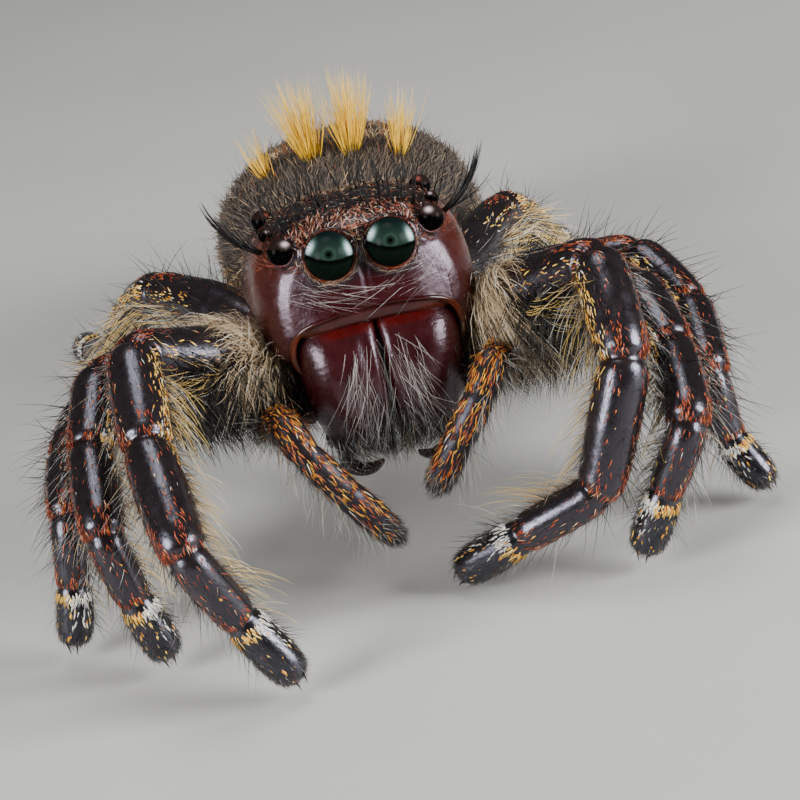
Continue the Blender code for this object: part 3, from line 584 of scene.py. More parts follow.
def capped(grid, front, back, rows=14):
    """The grid with each open end drawn in to a low dome of the given height."""
    out = [grid]
    for ring, before, height, at_start in (
        (grid[0], grid[1], front, True), (grid[-1], grid[-2], back, False),
    ):
        middle = ring.mean(axis=0)
        outward = unit(middle - before.mean(axis=0))
        angle = np.linspace(0, math.pi / 2, rows + 1)[1:, None, None] * DOME_END
        dome = middle + (ring - middle)[None] * np.cos(angle) + outward * height * np.sin(angle)
        out = [dome[::-1], *out] if at_start else [*out, dome]
    return np.concatenate(out)


def chain(points, cuts, per_mm):
    """Places down a chain of straight runs with rounded corners, and their stations."""
    points = np.asarray(points, float)
    runs = np.diff(points, axis=0)
    lengths = np.linalg.norm(runs, axis=1)
    ways = runs / lengths[:, None]
    steps = [max(8, int(length * per_mm)) for length in lengths]
    stations = [i + np.arange(step) / step for i, step in enumerate(steps)]
    stations = np.concatenate((*stations, [len(lengths) - 0.004]))

    def room(joint):
        return min(cuts, 0.45 * lengths[joint], 0.45 * lengths[joint - 1])

    out = []
    for station in stations:
        i = min(int(station), len(lengths) - 1)
        done = (station - i) * lengths[i]
        left = lengths[i] - done
        if i > 0 and done < room(i):
            joint, t = i, 0.5 + 0.5 * done / room(i)
        elif i + 1 < len(lengths) and left < room(i + 1):
            joint, t = i + 1, 0.5 - 0.5 * left / room(i + 1)
        else:
            out.append(points[i] + ways[i] * done)
            continue
        first = points[joint] - ways[joint - 1] * room(joint)
        last = points[joint] + ways[joint] * room(joint)
        out.append(first * (1 - t) ** 2 + points[joint] * 2 * t * (1 - t) + last * t * t)
    return np.array(out), stations


def limb_skin(points, profile, thick, side, per_mm=13, cuts=0.62, tall=1.0):
    """A jointed limb. Column 0 runs down its top and the columns go towards its front."""
    path, stations = chain(points, cuts, per_mm)
    ahead = heading(path)
    radii = np.interp(stations, *zip(*profile)) * thick
    radii = np.convolve(np.pad(radii, 1, mode="edge"), (0.2, 0.6, 0.2), mode="valid")
    top = np.array(UPWARD)
    grid = []
    angle = turns(LIMB_COLUMNS)
    for place, way, radius in zip(path, ahead, radii):
        top = unit(top - way * (top @ way))
        front = np.cross(way, top) * side
        ring = np.outer(np.cos(angle), top) * tall + np.outer(np.sin(angle), front)
        grid.append(place + ring * radius)
    skin = Skin(np.array(grid), stations)
    skin.grid[..., 2] = np.maximum(skin.grid[..., 2], FLOOR_CLEARANCE)
    skin.measure()
    return skin


def swept(path, out, radii, columns, tall=1.0):
    """A round form along a path, with its first column on the side that out names."""
    up = np.cross(out, heading(path))
    angle = turns(columns)[None, :, None]
    ring = np.cos(angle) * out[:, None] + tall * np.sin(angle) * up[:, None]
    return Skin(path[:, None] + ring * radii[:, None, None])


def tube_skin(path, radii, columns=36):
    """A turned form along a nearly straight path."""
    return swept(path, unit(np.cross(heading(path), UPWARD) + 1e-9), radii, columns)


# Where nearly all of a noise's values lie
NOISE_RANGE = (0.3, 0.7)


def finish(name, colour=None, rough=(0.3, 0.5), mottle=(1500, 0.25), grain=(), pits=None, **fixed):
    """A procedural finish. The colour, or the mesh's own tint, is mottled by noise; grain is
    a list of (scale per metre, depth in metres); pits are cells of a scale, depth and size."""
    made = bpy.data.materials.new(name)
    made.use_nodes = True
    tree = made.node_tree
    shader = tree.nodes["Principled BSDF"]

    def fill(node, inputs):
        for socket, value in inputs.items():
            if hasattr(value, "links"):
                tree.links.new(value, node.inputs[socket])
            else:
                node.inputs[socket].default_value = value

    def add(kind, output, inputs, operation=None):
        node = tree.nodes.new(f"ShaderNode{kind}")
        if operation:
            node.operation = operation
        fill(node, inputs)
        return node.outputs[output]

    def noise(scale):
        return add("TexNoise", "Fac", {"Vector": place, "Scale": scale, "Detail": 4.0})

    def remap(value, low, high):
        ends = {"From Min": NOISE_RANGE[0], "From Max": NOISE_RANGE[1], "To Min": low, "To Max": high}
        return add("MapRange", "Result", {"Value": value, **ends})

    def math_of(operation, first, second):
        return add("Math", 0, {0: first, 1: second}, operation)

    place = add("TexCoord", "Object", {})
    if colour is None:
        source = tree.nodes.new("ShaderNodeAttribute")
        source.attribute_name = "tint"
    else:
        source = tree.nodes.new("ShaderNodeRGB")
        source.outputs[0].default_value = (*colour, 1.0)
    vary = remap(noise(mottle[0]), 1 - mottle[1], 1 + mottle[1])
    fill(shader, {socket.replace("_", " "): value for socket, value in fixed.items()})
    fill(shader, {
        "Base Color": add("VectorMath", 0, {0: source.outputs[0], "Scale": vary}, "SCALE"),
        "Roughness": remap(noise(mottle[0] * 2.7), *rough),
    })
    height = 0.0
    for scale, depth in grain:
        height = math_of("ADD", height, math_of("MULTIPLY", noise(scale), depth))
    if pits:
        scale, depth, size = pits
        cells = add("TexVoronoi", "Distance", {"Vector": place, "Scale": scale})
        height = math_of("SUBTRACT", height, math_of("MULTIPLY", math_of("LESS_THAN", cells, size), depth))
    if grain or pits:
        bump = add("Bump", "Normal", {"Strength": 1.0, "Distance": 1.0, "Height": height})
        fill(shader, {"Normal": bump})
    return made


VIOLET = (0.80, 0.80, 1.0, 1.0)
ROSE = (0.98, 0.84, 1.0, 1.0)
FINISHES = {
    "leg": finish(
        "leg_cuticle", rough=(0.18, 0.30), grain=((9000, 6e-6), (38000, 1.6e-6)),
        Specular_Tint=VIOLET, IOR=1.68,
    ),
    "head": finish(
        "head_cuticle", rough=(0.21, 0.34), grain=((6000, 9e-6), (20000, 3.4e-6), (42000, 1.3e-6)),
        pits=(24000, 4e-6, 0.2), Specular_Tint=ROSE, IOR=1.52,
    ),
    "jaw": finish(
        "jaw_cuticle", rough=(0.21, 0.34), grain=((7000, 9e-6), (20000, 4.4e-6), (42000, 1.8e-6)),
        pits=(20000, 6e-6, 0.24), Specular_Tint=ROSE, IOR=1.54,
    ),
    "rim": finish(
        "rim_cuticle", rough=(0.16, 0.26), mottle=(2500, 0.3), grain=((15000, 1e-6),),
        IOR=1.42, Subsurface_Weight=0.25, Subsurface_Scale=0.0004,
    ),
    "underside": finish(
        "underside_cuticle", rough=(0.35, 0.55), grain=((8000, 8e-6), (40000, 2.5e-6)),
        pits=(14000, 3e-6, 0.18),
    ),
    "abdomen": finish(
        "abdomen_skin", rough=(0.6, 0.8), mottle=(900, 0.35), grain=((5000, 3e-5), (24000, 6e-6)),
    ),
    "palp": finish(
        "palp_cuticle", rough=(0.3, 0.5), grain=((10000, 5e-6), (40000, 2e-6)), Specular_Tint=VIOLET,
    ),
    "fang": finish(
        "fang_horn", rough=(0.12, 0.22), mottle=(3000, 0.4), grain=((9000, 2e-6),), IOR=1.6,
    ),
    "eye": finish(
        "eye_lens", rough=(0.14, 0.19), mottle=(5000, 0.06), grain=((3000, 1e-7),), IOR=1.08,
    ),
    "hair": finish("hair", rough=(0.34, 0.5), mottle=(4000, 0.2), IOR=1.38),
    "soft_hair": finish("soft_hair", rough=(0.5, 0.7), mottle=(3000, 0.25)),
    "scale": finish(
        "scale", rough=(0.28, 0.45), mottle=(9000, 0.25), grain=((60000, 2e-6),), Metallic=0.2,
    ),
}


# The head

def head_level_grid(columns=240):
    """The shield's grid in the level frame, front to back, with its face as a low dome."""
    rows = smooth_rows(CARAPACE_STATIONS, 170)
    angle = turns(columns)[None]
    c, s = np.cos(angle), np.sin(angle)
    front = clamp((-2.3 - rows[:, 0]) / 0.8)[:, None]
    power = np.where(s < 0, HEAD_POWER + 1.8 * front, HEAD_POWER)
    x, z = np.sign(c) * np.abs(c) ** (2 / power), np.sign(s) * np.abs(s) ** (2 / power)
    middle = rows[:, 3] + WIDEST * (rows[:, 2] - rows[:, 3])
    reach = np.where(z > 0, (rows[:, 2] - middle)[:, None], (middle - rows[:, 3])[:, None])
    grid = np.stack((
        x * (rows[:, 1] - 0.03)[:, None],
        np.repeat(rows[:, 0][:, None] + 0.03, columns, 1),
        middle[:, None] + z * (reach - 0.03),
    ), axis=-1)
    grid = capped(grid, 0.05, 0.03, 60)
    x, y, z = split(grid)
    near = ease(clamp((-2.2 - y) / 1.96))
    turn = ease(clamp((np.abs(x) - 0.8) / 1.5))
    slope = 0.24 * clamp((z + 1.0) / 1.6)
    grid[..., 1] = y + near * (0.34 * turn * clamp((1.0 - z) / 0.6) + slope)
    return grid


def open_the_face(grid):
    """Ends the face at its lip, so that the jaws come out from under it."""
    x, y, z = split(grid)
    edge = np.array(LIP)
    high = np.interp(np.abs(x), edge[:6, 0], edge[:6, 2])
    high = high - 9 * clamp(np.abs(x) - CHEEK_EDGE)
    soft = 0.03
    lifted = high + soft * np.logaddexp(0, (z - high) / soft)
    near = clamp((-2.9 - y) / 0.3)
    grid[..., 2] = z + (lifted - z) * near
    return grid


def make_head():
    """The shield with its grooves and eye collars."""
    grid = open_the_face(head_level_grid())
    skin = Skin(front_points(grid))
    x, y, z = split(grid)
    relief = -0.10 * np.exp(-((x / 0.10) ** 2 + ((y - 0.75) / 0.35) ** 2))
    relief = relief - 0.05 * np.exp(-((x / 0.9) ** 2 + ((y + 0.6) / 0.5) ** 2)) * (z > 0.5)
    relief = relief - 0.05 * np.exp(-(x / 0.12) ** 2) * window(z, -0.5, 0.6, 0.5) * (y < -3.6)
    away, dist = np.arctan2(x, y - 0.4), np.hypot(x, y - 0.4)
    for turn in (-1.15, -0.62, 0.62, 1.15):
        crease = np.exp(-((np.abs(away) - abs(turn)) * dist / 0.10) ** 2) * (np.sign(away) == np.sign(turn))
        relief = relief - 0.035 * crease * window(dist, 0.7, 2.6, 0.8) * (z > 0)
    skin.push(relief)
    colour = head_colours(grid)
    for kind, (_, _, _, radius) in EYES.items():
        for side in SIDES.values():
            centre = eye_centre(kind, side)
            dist = np.linalg.norm(skin.grid - centre, axis=-1)
            collar = np.exp(-((dist - 1.10 * radius) / (0.085 * radius + 0.02)) ** 2)
            skin.push(collar * (0.025 + 0.03 * radius))
            away = skin.grid - centre
            dist = np.linalg.norm(away, axis=-1)
            sunk = np.where(dist < radius * 1.02, np.minimum(0.9 * radius / np.maximum(dist, 1e-6), 1), 1)
            skin.grid = centre + away * sunk[..., None]
            ring = np.exp(-((dist / radius - 1.22) / 0.20) ** 2)
            low = level_points(skin.grid)[..., 2] < EYES[kind][2]
            gilt = np.exp(-((dist / radius - 1.05) / 0.035) ** 2) * (0.35 + 0.65 * low)
            gilt = gilt * (0.6 if kind in ("AM", "AL") else 0.25)
            colour = layers(colour, (BLACK, ring * 0.8), (AMBER, gilt))
    skin.measure()
    skin.show("head_shield", colour, "head", "cuticle", "carapace")
    return skin


def head_colours(grid):
    """Black over the eyes' field, maroon on the face, red-brown down the sides."""
    x, y, z = split(grid)
    return layers(
        RUSSET,
        (MAROON, clamp((-2.9 - y) / 0.9)),
        ((0.020, 0.008, 0.006), clamp((y + 0.6) / 1.6) * clamp(z + 0.6)),
        (BLACK, clamp((z - 0.95) / 0.35) * window(y, -4.6, -0.7, 0.5)),
        (CUTICLE, clamp((-z - 0.85) / 0.35) * clamp((y + 2.6) / 0.8)),
    )


def rope(name, path, radius, tall, tint, columns=20):
    """A cord along a path, round or taller than deep, as a piece of the face."""
    ahead = heading(path)
    out = square_to(unit(np.cross(ahead, UPWARD) + (0.0, -0.15, 0.0)), ahead)
    swept(path, out, radius, columns, tall).show(name, tint[:, None], "rim", "cuticle")


def make_lip(rows=120):
    """The face's rolled edge, amber beside the jaws, and the smooth band under it."""
    half = smooth_rows(LIP, 90)
    level = np.concatenate((half[:0:-1] * (-1, 1, 1), half))
    share = np.abs(np.linspace(-1, 1, len(level)))
    radius = (0.035 + 0.045 * clamp(share * 1.6)) * np.sqrt(1.001 - share**16)
    amber = clamp((share - 0.30) / 0.22)
    tint = mix(MAROON, (0.062, 0.011, 0.003), amber)
    rope("face_rim", front_points(level), radius, 1.0, tint)
    share = np.abs(np.linspace(-1, 1, rows))
    x = np.linspace(-BAND_HALF, BAND_HALF, rows)
    band = np.stack((x, -3.93 + 0.28 * share**4, -0.80 - 0.20 * share**2), axis=-1)
    radius = 0.115 * np.sqrt(1.001 - share**8)
    outer = clamp((share - 0.5) / 0.4)
    tint = mix((0.034, 0.005, 0.005), (0.06, 0.011, 0.004), outer)
    rope("face_band", front_points(band), radius, 1.9, tint, 28)


def make_walls(columns=64):
    """The dark skin of the sides, between the shield and the hips."""
    rows = smooth_rows(WALL_STATIONS, 70)
    x, z = superellipse(columns, WALL_POWER)
    middle, reach = (rows[:, 2] + rows[:, 3]) / 2, (rows[:, 2] - rows[:, 3]) / 2
    grid = np.stack((
        x[None] * rows[:, 1][:, None],
        np.repeat(rows[:, 0][:, None], columns, 1),
        middle[:, None] + z[None] * reach[:, None],
    ), axis=-1)
    skin = Skin(front_points(capped(grid, 0.1, 0.1, 8)))
    skin.push(0.02 * np.sin(skin.grid[..., 1] * 9 + skin.grid[..., 2] * 4))
    level = level_points(skin.grid)
    red = clamp((level[..., 2] + 2.1) / 0.5)
    colour = mix((0.020, 0.008, 0.005), RUSSET, red * 0.8)
    skin.show("body_wall", colour, "underside", "underside")
    hairs = Coat("body_wall_hairs", skin)
    furs = ((6, BLACK, BLACK), (2, SOOT, RUSSET), (0.6, TAN, CREAM))
    hairs.sow(1500, None, furs, (0.3, 0.7), 0.018, lean=(34, 10), turn=(0, 25), droop=0.35, rings=2)
    hairs.finish("hair", "underside")


# The way the front eyes look, about which their pupils and painted reflections are laid out, and the roll of
# that pattern.
GAZE = (-0.07, -0.966, 0.25)
GAZE_TURN = math.radians(-11.6)


def gaze_coordinates(ball):
    """Across and up on a lens, about the way that the eyes look."""
    ahead = unit(np.array(GAZE))
    right = unit(np.cross(ahead, UPWARD))
    up = np.cross(right, ahead)
    x, z = ball @ right, ball @ up
    c, s = math.cos(GAZE_TURN), math.sin(GAZE_TURN)
    return x * c - z * s, x * s + z * c, ball @ ahead


def small_eye_colours(kind, side, across, up, ahead):
    """A dark lens with painted light: the upper part painted lighter as if lit from the sky, a soft painted
    highlight there, and a small pupil.
    """
    # Painted light: the upper part is painted lighter and carries a painted highlight, reddish on the back
    # side eyes.
    painted_sky_share = clamp((up + 0.05 - 0.25 * across**2) / 0.12) * (ahead > -0.2)
    painted_glint = np.exp(-((across + 0.11 - 0.31 * side) / 0.25) ** 2 - ((up - 0.55) / 0.19) ** 2)
    return layers(
        (0.0012, 0.0010, 0.0012),
        ((0.014, 0.008, 0.007), painted_sky_share),
        ((0.26, 0.07, 0.05) if kind == "PL" else (0.74, 0.60, 0.60), painted_glint * painted_sky_share * 0.85),
        ((0.0007, 0.0007, 0.0007), clamp((0.2 - np.hypot(across - 0.12, up)) / 0.08)),
    )


def big_eye_colours(across, up, ahead):
    """A lens with its reflections painted in: a teal upper part painted as lit by the sky, with bright
    painted flanks and fine dark painted rays, painted shade below, and a dark pupil.
    """
    # Painted reflection and shade: teal above a painted edge, near black below it.
    edge = up + 0.26 - 0.34 * across**2
    painted_sky_share = clamp(edge / 0.07) * clamp((ahead + 0.1) / 0.2)
    deep = (0.0008, 0.0014, 0.0010)
    painted_sky_teal = mix((0.013, 0.027, 0.020), (0.004, 0.009, 0.008), clamp(up * 1.5 - 0.1))
    colour = layers(deep, ((0.0022, 0.0058, 0.0032), clamp((-edge - 0.08) / 0.12)), (painted_sky_teal, painted_sky_share))
    # Painted reflections: a bright flank on each upper side.
    for reach, high, wide, tall in ((-0.78, 0.24, 0.16, 0.34), (0.78, 0.28, 0.18, 0.32)):
        lean = across - reach - 0.3 * (up - high) * np.sign(-reach)
        painted_flank = np.exp(-((lean / wide) ** 2) - ((up - high) / tall) ** 2)
        bright = np.minimum(painted_flank**2.4 * 1.1, 1) * painted_sky_share * 0.92
        colour = layers(colour, ((0.13, 0.26, 0.22), painted_flank * painted_sky_share * 0.8), ((0.80, 0.96, 0.99), bright))
    out, angle = np.hypot(across, up), np.arctan2(up, across)
    # Painted reflection: fine dark rays over the lit part near the rim.
    painted_rays = 0.5 + 0.5 * np.sin(angle * 58 + 3 * np.sin(angle * 7))
    return layers(
        colour,
        ((0.002, 0.007, 0.007), clamp((out - 0.66) / 0.22) * painted_sky_share * painted_rays * 0.75),
        (deep, clamp((out - 0.90) / 0.07)),
        ((0.026, 0.048, 0.036), np.exp(-((out - 0.24) / 0.06) ** 2) * 0.55 * painted_sky_share),
        ((0.002, 0.005, 0.004), np.exp(-((out - 0.15) / 0.03) ** 2) * 0.8),
        ((0.0004, 0.0006, 0.0006), clamp((0.12 - out) / 0.04)),
    )


def make_eyes():
    """Eight polished lenses, with painted reflections and shade in their colours."""
    for kind, (_, _, _, radius) in EYES.items():
        rows, columns = (112, 144) if kind == "AM" else (48, 60)
        ball = ball_grid(rows, columns, 0.004)
        seen = gaze_coordinates(ball)
        for tag, side in SIDES.items():
            skin = Skin(front_points(level_points(eye_centre(kind, side)) + ball * (radius - 0.005)))
            colour = big_eye_colours(*seen) if kind == "AM" else small_eye_colours(kind, side, *seen)
            skin.show(f"lens_{kind}_{tag}", colour, "eye", "eye", f"eye_{kind}_{tag}")


def near_eye(places, low, high, kinds=("AM", "AL")):
    """One between two distances from an eye's middle, given in its radii."""
    out = np.zeros(places.shape[:-1])
    for kind in kinds:
        for side in SIDES.values():
            dist = np.linalg.norm(places - eye_centre(kind, side), axis=-1) / EYES[kind][3]
            out = np.maximum(out, window(dist, low, high, 0.06))
    return out


def clear(places):
    """One away from all eyes."""
    return 1 - near_eye(places, 0.0, 1.08, EYES)


def on_head(rule):
    """A weight from a rule of x, y and z in the level frame, with none over an eye."""
    return lambda key, b, places: level_rule(rule)(key, b, places) * clear(places)


def crown(x, y, z):
    return (z > 0.85) * window(y, -4.4, -0.9, 0.3)


def front_crown(x, y, z):
    near = window(y, -4.6, -3.0, 0.3) + 0.16 + 0.8 * window(np.abs(x), 1.5, 2.6, 0.2)
    return crown(x, y, z) * near


def brows(key, b, places):
    x, y, z = split(level_points(places))
    above = clamp((z - 0.85) / 0.25) + 0.7 * window(np.abs(x), 1.27, 1.50, 0.08) * (z > 0.45)
    ring = near_eye(places, 1.12, 1.4) + 0.65 * near_eye(places, 1.4, 2.1, ("AM",))
    return ring * clear(places) * above * (np.abs(x) > 0.12)


def temples(x, y, z):
    return window(np.abs(x), 1.95, 2.5, 0.15) * window(y, -3.6, -2.4, 0.3) * (z > 0.5)


def between_eyes(x, y, z):
    return (np.abs(x) < 0.15) * window(z, 0.2, 1.3, 0.2) * (y < -3.5)


def below_eyes(x, y, z):
    return window(z, -0.35, 0.30, 0.25) * (y < -3.3) * window(np.abs(x), 0.5, 2.0, 0.3)


def lashes(key, b, places):
    return near_eye(places, 1.09, 1.17, ("AM",)) * (level_points(places)[..., 2] < 0.75)


def face(x, y, z):
    return (y < -2.6) * (z < 0.9)


def crown_edge(x, y, z):
    return (z > 1.1) * window(y, -1.5, -0.6, 0.3)


def cheek_side(x, y, z):
    return window(y, -3.5, 1.0, 0.5) * (np.abs(x) > 2.15) * (z < 1.0)


def thorax(x, y, z):
    return window(y, -1.6, 9.0, 1.0) * (0.06 + clamp(z + 0.5)) * (z > -1.15)


def hem(x, y, z):
    return window(z, -1.35, -0.95, 0.1) * (y > -2.2)


def crown_ends(x, y, z):
    return (z > 1.0) * (window(y, -3.6, -2.6, 0.2) + window(y, -1.7, -0.7, 0.2))


def out_from_eyes(roots):
    """Out from the front eyes and round them, most beside each."""
    out = np.zeros_like(roots.place)
    for kind in ("AM", "AL"):
        for side in SIDES.values():
            away = roots.place - eye_centre(kind, side)
            pull = np.exp(-(np.linalg.norm(away, axis=-1) / EYES[kind][3]) ** 2 * 1.2)[:, None]
            out += (unit(np.cross(away, (0.0, 1.0, 0.0))) * side * 0.6 + unit(away)) * pull
    return out


def round_eyes(roots):
    """Round the front middle eyes."""
    middle = np.where(roots.place[:, :1] > 0, eye_centre("AM", 1), eye_centre("AM", -1))
    return np.cross(roots.place - middle, (0.0, -1.0, 0.0)) * np.sign(roots.place[:, :1])


def to_middle(roots):
    """Across the face to its middle, and a little down."""
    side = np.sign(roots.place[:, 0])
    return np.stack((-side, np.zeros(roots.count), np.full(roots.count, -0.30)), axis=-1)


# Copper scales round the front eyes; the rosy ones that turn white at the tip are painted glints.
COPPERS = (
    (4, RUSSET, COPPER), (1.7, SCALE_RED, COPPER), (1.6, RUSSET, SCALE_RED), (4, SOOT, RUSSET),
    (2.4, COPPER, ROSY), (1.0, TAN, CREAM), (0.7, ROSY, WHITE),
)
FLAKE = {"kind": "scale", "rings": 2, "flat": 0.35}


def grow_head(skin):
    """Scales over the eyes' field and round the front eyes, hairs below, bristles above."""
    flakes = Coat("head_scales", skin)
    reds = ((3, RUSSET, COPPER), (1.5, RUSSET, SCALE_RED))
    for count, where, colours, length, width, lean, turn, lay in (
        (560, on_head(front_crown), COPPERS, (0.13, 0.24), 0.026, (14, 7), (180, 50), None),
        (700, brows, COPPERS, (0.16, 0.32), 0.019, (26, 10), (0, 24), out_from_eyes),
        (210, on_head(temples), reds, (0.14, 0.28), 0.018, (26, 9), (0, 40), None),
    ):
        flakes.sow(count, where, colours, length, width, lean=lean, turn=turn, lay=lay, **FLAKE)
    flakes.finish("scale", "cuticle")

    hairs = Coat("head_hairs", skin)
    pale = ((3, TAN, CREAM), (2, SOOT, TAN), (1, WHITE, WHITE))
    hairs.sow(
        46, on_head(between_eyes), pale, (0.2, 0.4), 0.013, lean=(24, 8), turn=(0, 30),
        lay=(0.0, 0.0, 1.0),
    )
    greys = ((3, ASH, ASH), (4, ASH, WHITE), (3, WHITE, WHITE))
    hairs.sow(
        64, on_head(below_eyes), greys, (0.6, 1.5), 0.0075, lean=(11, 4), turn=(0, 11),
        bend=0.1, droop=-0.08, rings=6, lay=to_middle, wave=0.03,
    )
    gilt = ((3, COPPER, CREAM), (2, TAN, CREAM))
    hairs.sow(
        190, lashes, gilt, (0.14, 0.26), 0.009, lean=(18, 6), turn=(0, 12), rings=3, lay=round_eyes,
    )
    black = ((5, BLACK, SOOT), (1, ASH, ASH))
    # Crown flakes: real small scales, their grey and pale tips painted glints of light.
    flakes_with_painted_glints = ((3, SOOT, ASH), (3, SOOT, COPPER), (2, BLACK, SOOT), (1, TAN, CREAM))
    tans = ((3, TAN, CREAM), (2, RUSSET, COPPER))
    browns = ((4, BLACK, RUSSET), (2, SOOT, RUSSET), (1, RUSSET, COPPER))
    furs = ((6, BLACK, SOOT), (3, BLACK, RUSSET), (1, RUSSET, COPPER), (0.5, TAN, CREAM))
    for count, rule, colours, length, width, lean, turn, shape in (
        (420, face, black, (0.10, 0.24), 0.009, (24, 8), (0, 60), {"rings": 1}),
        (420, crown, ((1, BLACK, SOOT),), (0.12, 0.3), 0.012, (24, 8), (180, 30), {"rings": 1}),
        (560, crown, flakes_with_painted_glints, (0.16, 0.30), 0.028, (24, 8), (180, 40), FLAKE),
        (220, crown_edge, tans, (0.16, 0.36), 0.013, (38, 10), (180, 30), {"rings": 2}),
        (1500, cheek_side, browns, (0.12, 0.26), 0.014, (17, 6), (0, 25), {"rings": 1}),
        (5200, thorax, furs, (0.2, 0.45), 0.016, (22, 7), (0, 22), {"rings": 2}),
    ):
        hairs.sow(count, on_head(rule), colours, length, width, lean=lean, turn=turn, **shape)
    hairs.sow(
        500, on_head(hem), ((3, TAN, CREAM), (3, SOOT, TAN)), (0.25, 0.55), 0.014, lean=(26, 8),
        turn=(30, 20), droop=0.25, rings=2,
    )
    roots = skin.scatter(70, on_head(crown_ends))
    roots.normal = unit(roots.normal + (0.0, 0.7, 3.0))
    grow(
        hairs, roots, ((1, BLACK, BLACK),), (0.90, 1.45), 0.044, lean=(82, 7), turn=(180, 50), bend=0.12,
        rings=6, wave=0.06,
    )
    for side in SIDES.values():
        grow_brow_tuft(hairs, skin, side)
    hairs.finish("hair", "cuticle")


# Root and tip of the tuft beside the left outer front eye
BROW_TUFT = ((2.20, -2.95, 0.92), (3.30, -3.42, 2.42))
# How far its hairs spread, and those that stray
TIDY, STRAY = 0.032, 0.16


def grow_brow_tuft(hairs, skin, side, count=30):
    """The long black tuft beside an outer front eye. Every fifth hair strays and is shorter."""
    root, tip = front_points(np.array(BROW_TUFT) * (side, 1, 1))
    away = np.linalg.norm(skin.grid - root, axis=-1)
    row, column = np.unravel_index(np.argsort(away.ravel())[: count * 2 : 2], away.shape)
    roots = Roots(skin, row / (skin.rows - 1), column / skin.columns)
    roots.place = roots.place + (root - roots.place) * 0.65
    reach = np.linalg.norm(tip - root)
    loose = np.where(np.arange(count) % 5 == 0, STRAY, TIDY)[:, None]
    aim = unit(unit(tip - root) + loose * RNG.standard_normal((count, 3)))
    t = np.linspace(0, 1, 7)[None, :, None]
    shorter = 1 - 1.6 * (loose[:, 0] - TIDY)
    length = (reach * RNG.uniform(0.80, 1.08, count) * shorter)[:, None, None]
    sag = np.array((side * 0.24, 0.0, -0.34))
    path = roots.place[:, None] + length * (aim[:, None] * t + sag * (t - t * t))
    wide = np.interp(np.arange(6), (0, 2, 5), (1.0, 0.9, 0.35))[None] * np.full((count, 1), 0.022)
    black = np.tile(BLACK, (count, 1))
    hairs.add(roots, path, roots.side, wide, wide, black, black, 3)


# The jaws

def jaw_level_grid(side, columns=110):
    """A jaw's grid in the level frame, flat where it meets the other one."""
    rows = smooth_rows(CHELICERA_STATIONS, 120)
    outer_x, outer_y = superellipse(columns, JAW_POWERS[0])
    inner_x, inner_y = superellipse(columns, JAW_POWERS[1])
    x, y = np.where(outer_x > 0, outer_x, inner_x), np.where(outer_x > 0, outer_y, inner_y)
    inner = rows[:, 0] - np.interp(rows[:, 2], *zip(*JAW_INNER))
    half = np.where(x[None] > 0, rows[:, 3][:, None], inner[:, None])
    return np.stack((
        side * (rows[:, 0][:, None] + x[None] * half),
        rows[:, 1][:, None] + y[None] * rows[:, 4][:, None],
        np.repeat(rows[:, 2][:, None], columns, 1),
    ), axis=-1)


def make_jaws():
    """Two grained maroon jaws, blood red where they come out from under the face."""
    for tag, side in SIDES.items():
        level = capped(jaw_level_grid(side), 0.06, 0.10, 18)
        skin = Skin(front_points(level))
        px, py, pz = split(level)
        wrinkle = np.sin(pz * 46 + np.sin(px * 9 + pz * 5) * 1.6 + np.sin(py * 13) * 0.9)
        outer = clamp((np.abs(px) - 1.2) / 0.5)
        hollow = np.exp(-((np.abs(px) - 0.40) / 0.13) ** 2) * (py < -3.6) * window(pz, -3.4, -1.4, 0.5)
        skin.push(wrinkle * 0.0014 * (0.3 + outer) * (pz < -1.3) - 0.05 * hollow)
        low = clamp((-pz - 2.6) / 1.2)
        bloody = clamp((pz + 1.26) / 0.08) * clamp((1.55 - np.abs(px)) / 0.5)
        colour = layers(MAROON, ((0.026, 0.0045, 0.006), low), (BLOOD, bloody))
        skin.show(f"jaw_{tag}", colour, "jaw", "jaw", f"chelicera_{tag}")
        grow_jaw(skin, side, tag)
        make_fang(side, tag)


def grow_jaw(skin, side, tag):
    """Long pale hairs down a jaw's inner edge, short ones all over, black ones where the jaws meet,
    real hair that is also painted shade filling the gap between them, and a fringe at its end.
    """

    def inner(x, y, z):
        return window(np.abs(x), 0.1, 0.85, 0.35) * (y < -3.5) * window(z, -3.7, -1.35, 0.3)

    def all_over(x, y, z):
        return window(z, -4.2, -1.5, 0.3)

    def meeting_shade_fringe(x, y, z):
        return window(np.abs(x), -0.2, 0.55, 0.1) * window(z, -4.2, -3.1, 0.3)

    def low(x, y, z):
        return window(z, -4.2, -3.5, 0.2) * (0.3 + (y < -3.1))

    greys = ((3, ASH, ASH), (3, ASH, WHITE), (2, WHITE, WHITE))
    black = ((12, BLACK, BLACK), (1, SOOT, ASH))
    fringe = ((2.4, ASH, WHITE), (0.8, TAN, CREAM), (9, BLACK, BLACK), (1.5, SOOT, ASH))
    hairs = Coat(f"jaw_{tag}_hairs", skin)
    hairs.sow(
        120, level_rule(inner), greys, (0.7, 1.9), 0.0072, lean=(14, 5), turn=(0, 15), bend=0.15,
        rings=6, lay=(side * 0.26, -0.1, -1.0), wave=0.03,
    )
    hairs.sow(
        260, level_rule(all_over), ((2, ASH, ASH), (5, BLACK, SOOT)), (0.16, 0.42), 0.009,
        lean=(22, 7), turn=(0, 25), rings=1, lay=(0.0, 0.0, -1.0),
    )
    # Black hair where the jaws meet: real hair, also painted shade filling the gap between them.
    hairs.sow(
        300, level_rule(meeting_shade_fringe), black, (0.3, 0.7), 0.015, lean=(20, 8), turn=(0, 25), rings=2,
        lay=(-side * 0.4, -0.3, -1.0),
    )
    hairs.sow(
        520, level_rule(low), fringe, (0.4, 0.95), 0.015, lean=(28, 10), turn=(0, 26), bend=0.1,
        rings=3, lay=(-side * 0.3, -0.25, -1.0), wave=0.04,
    )
    hairs.finish("hair", "jaw")


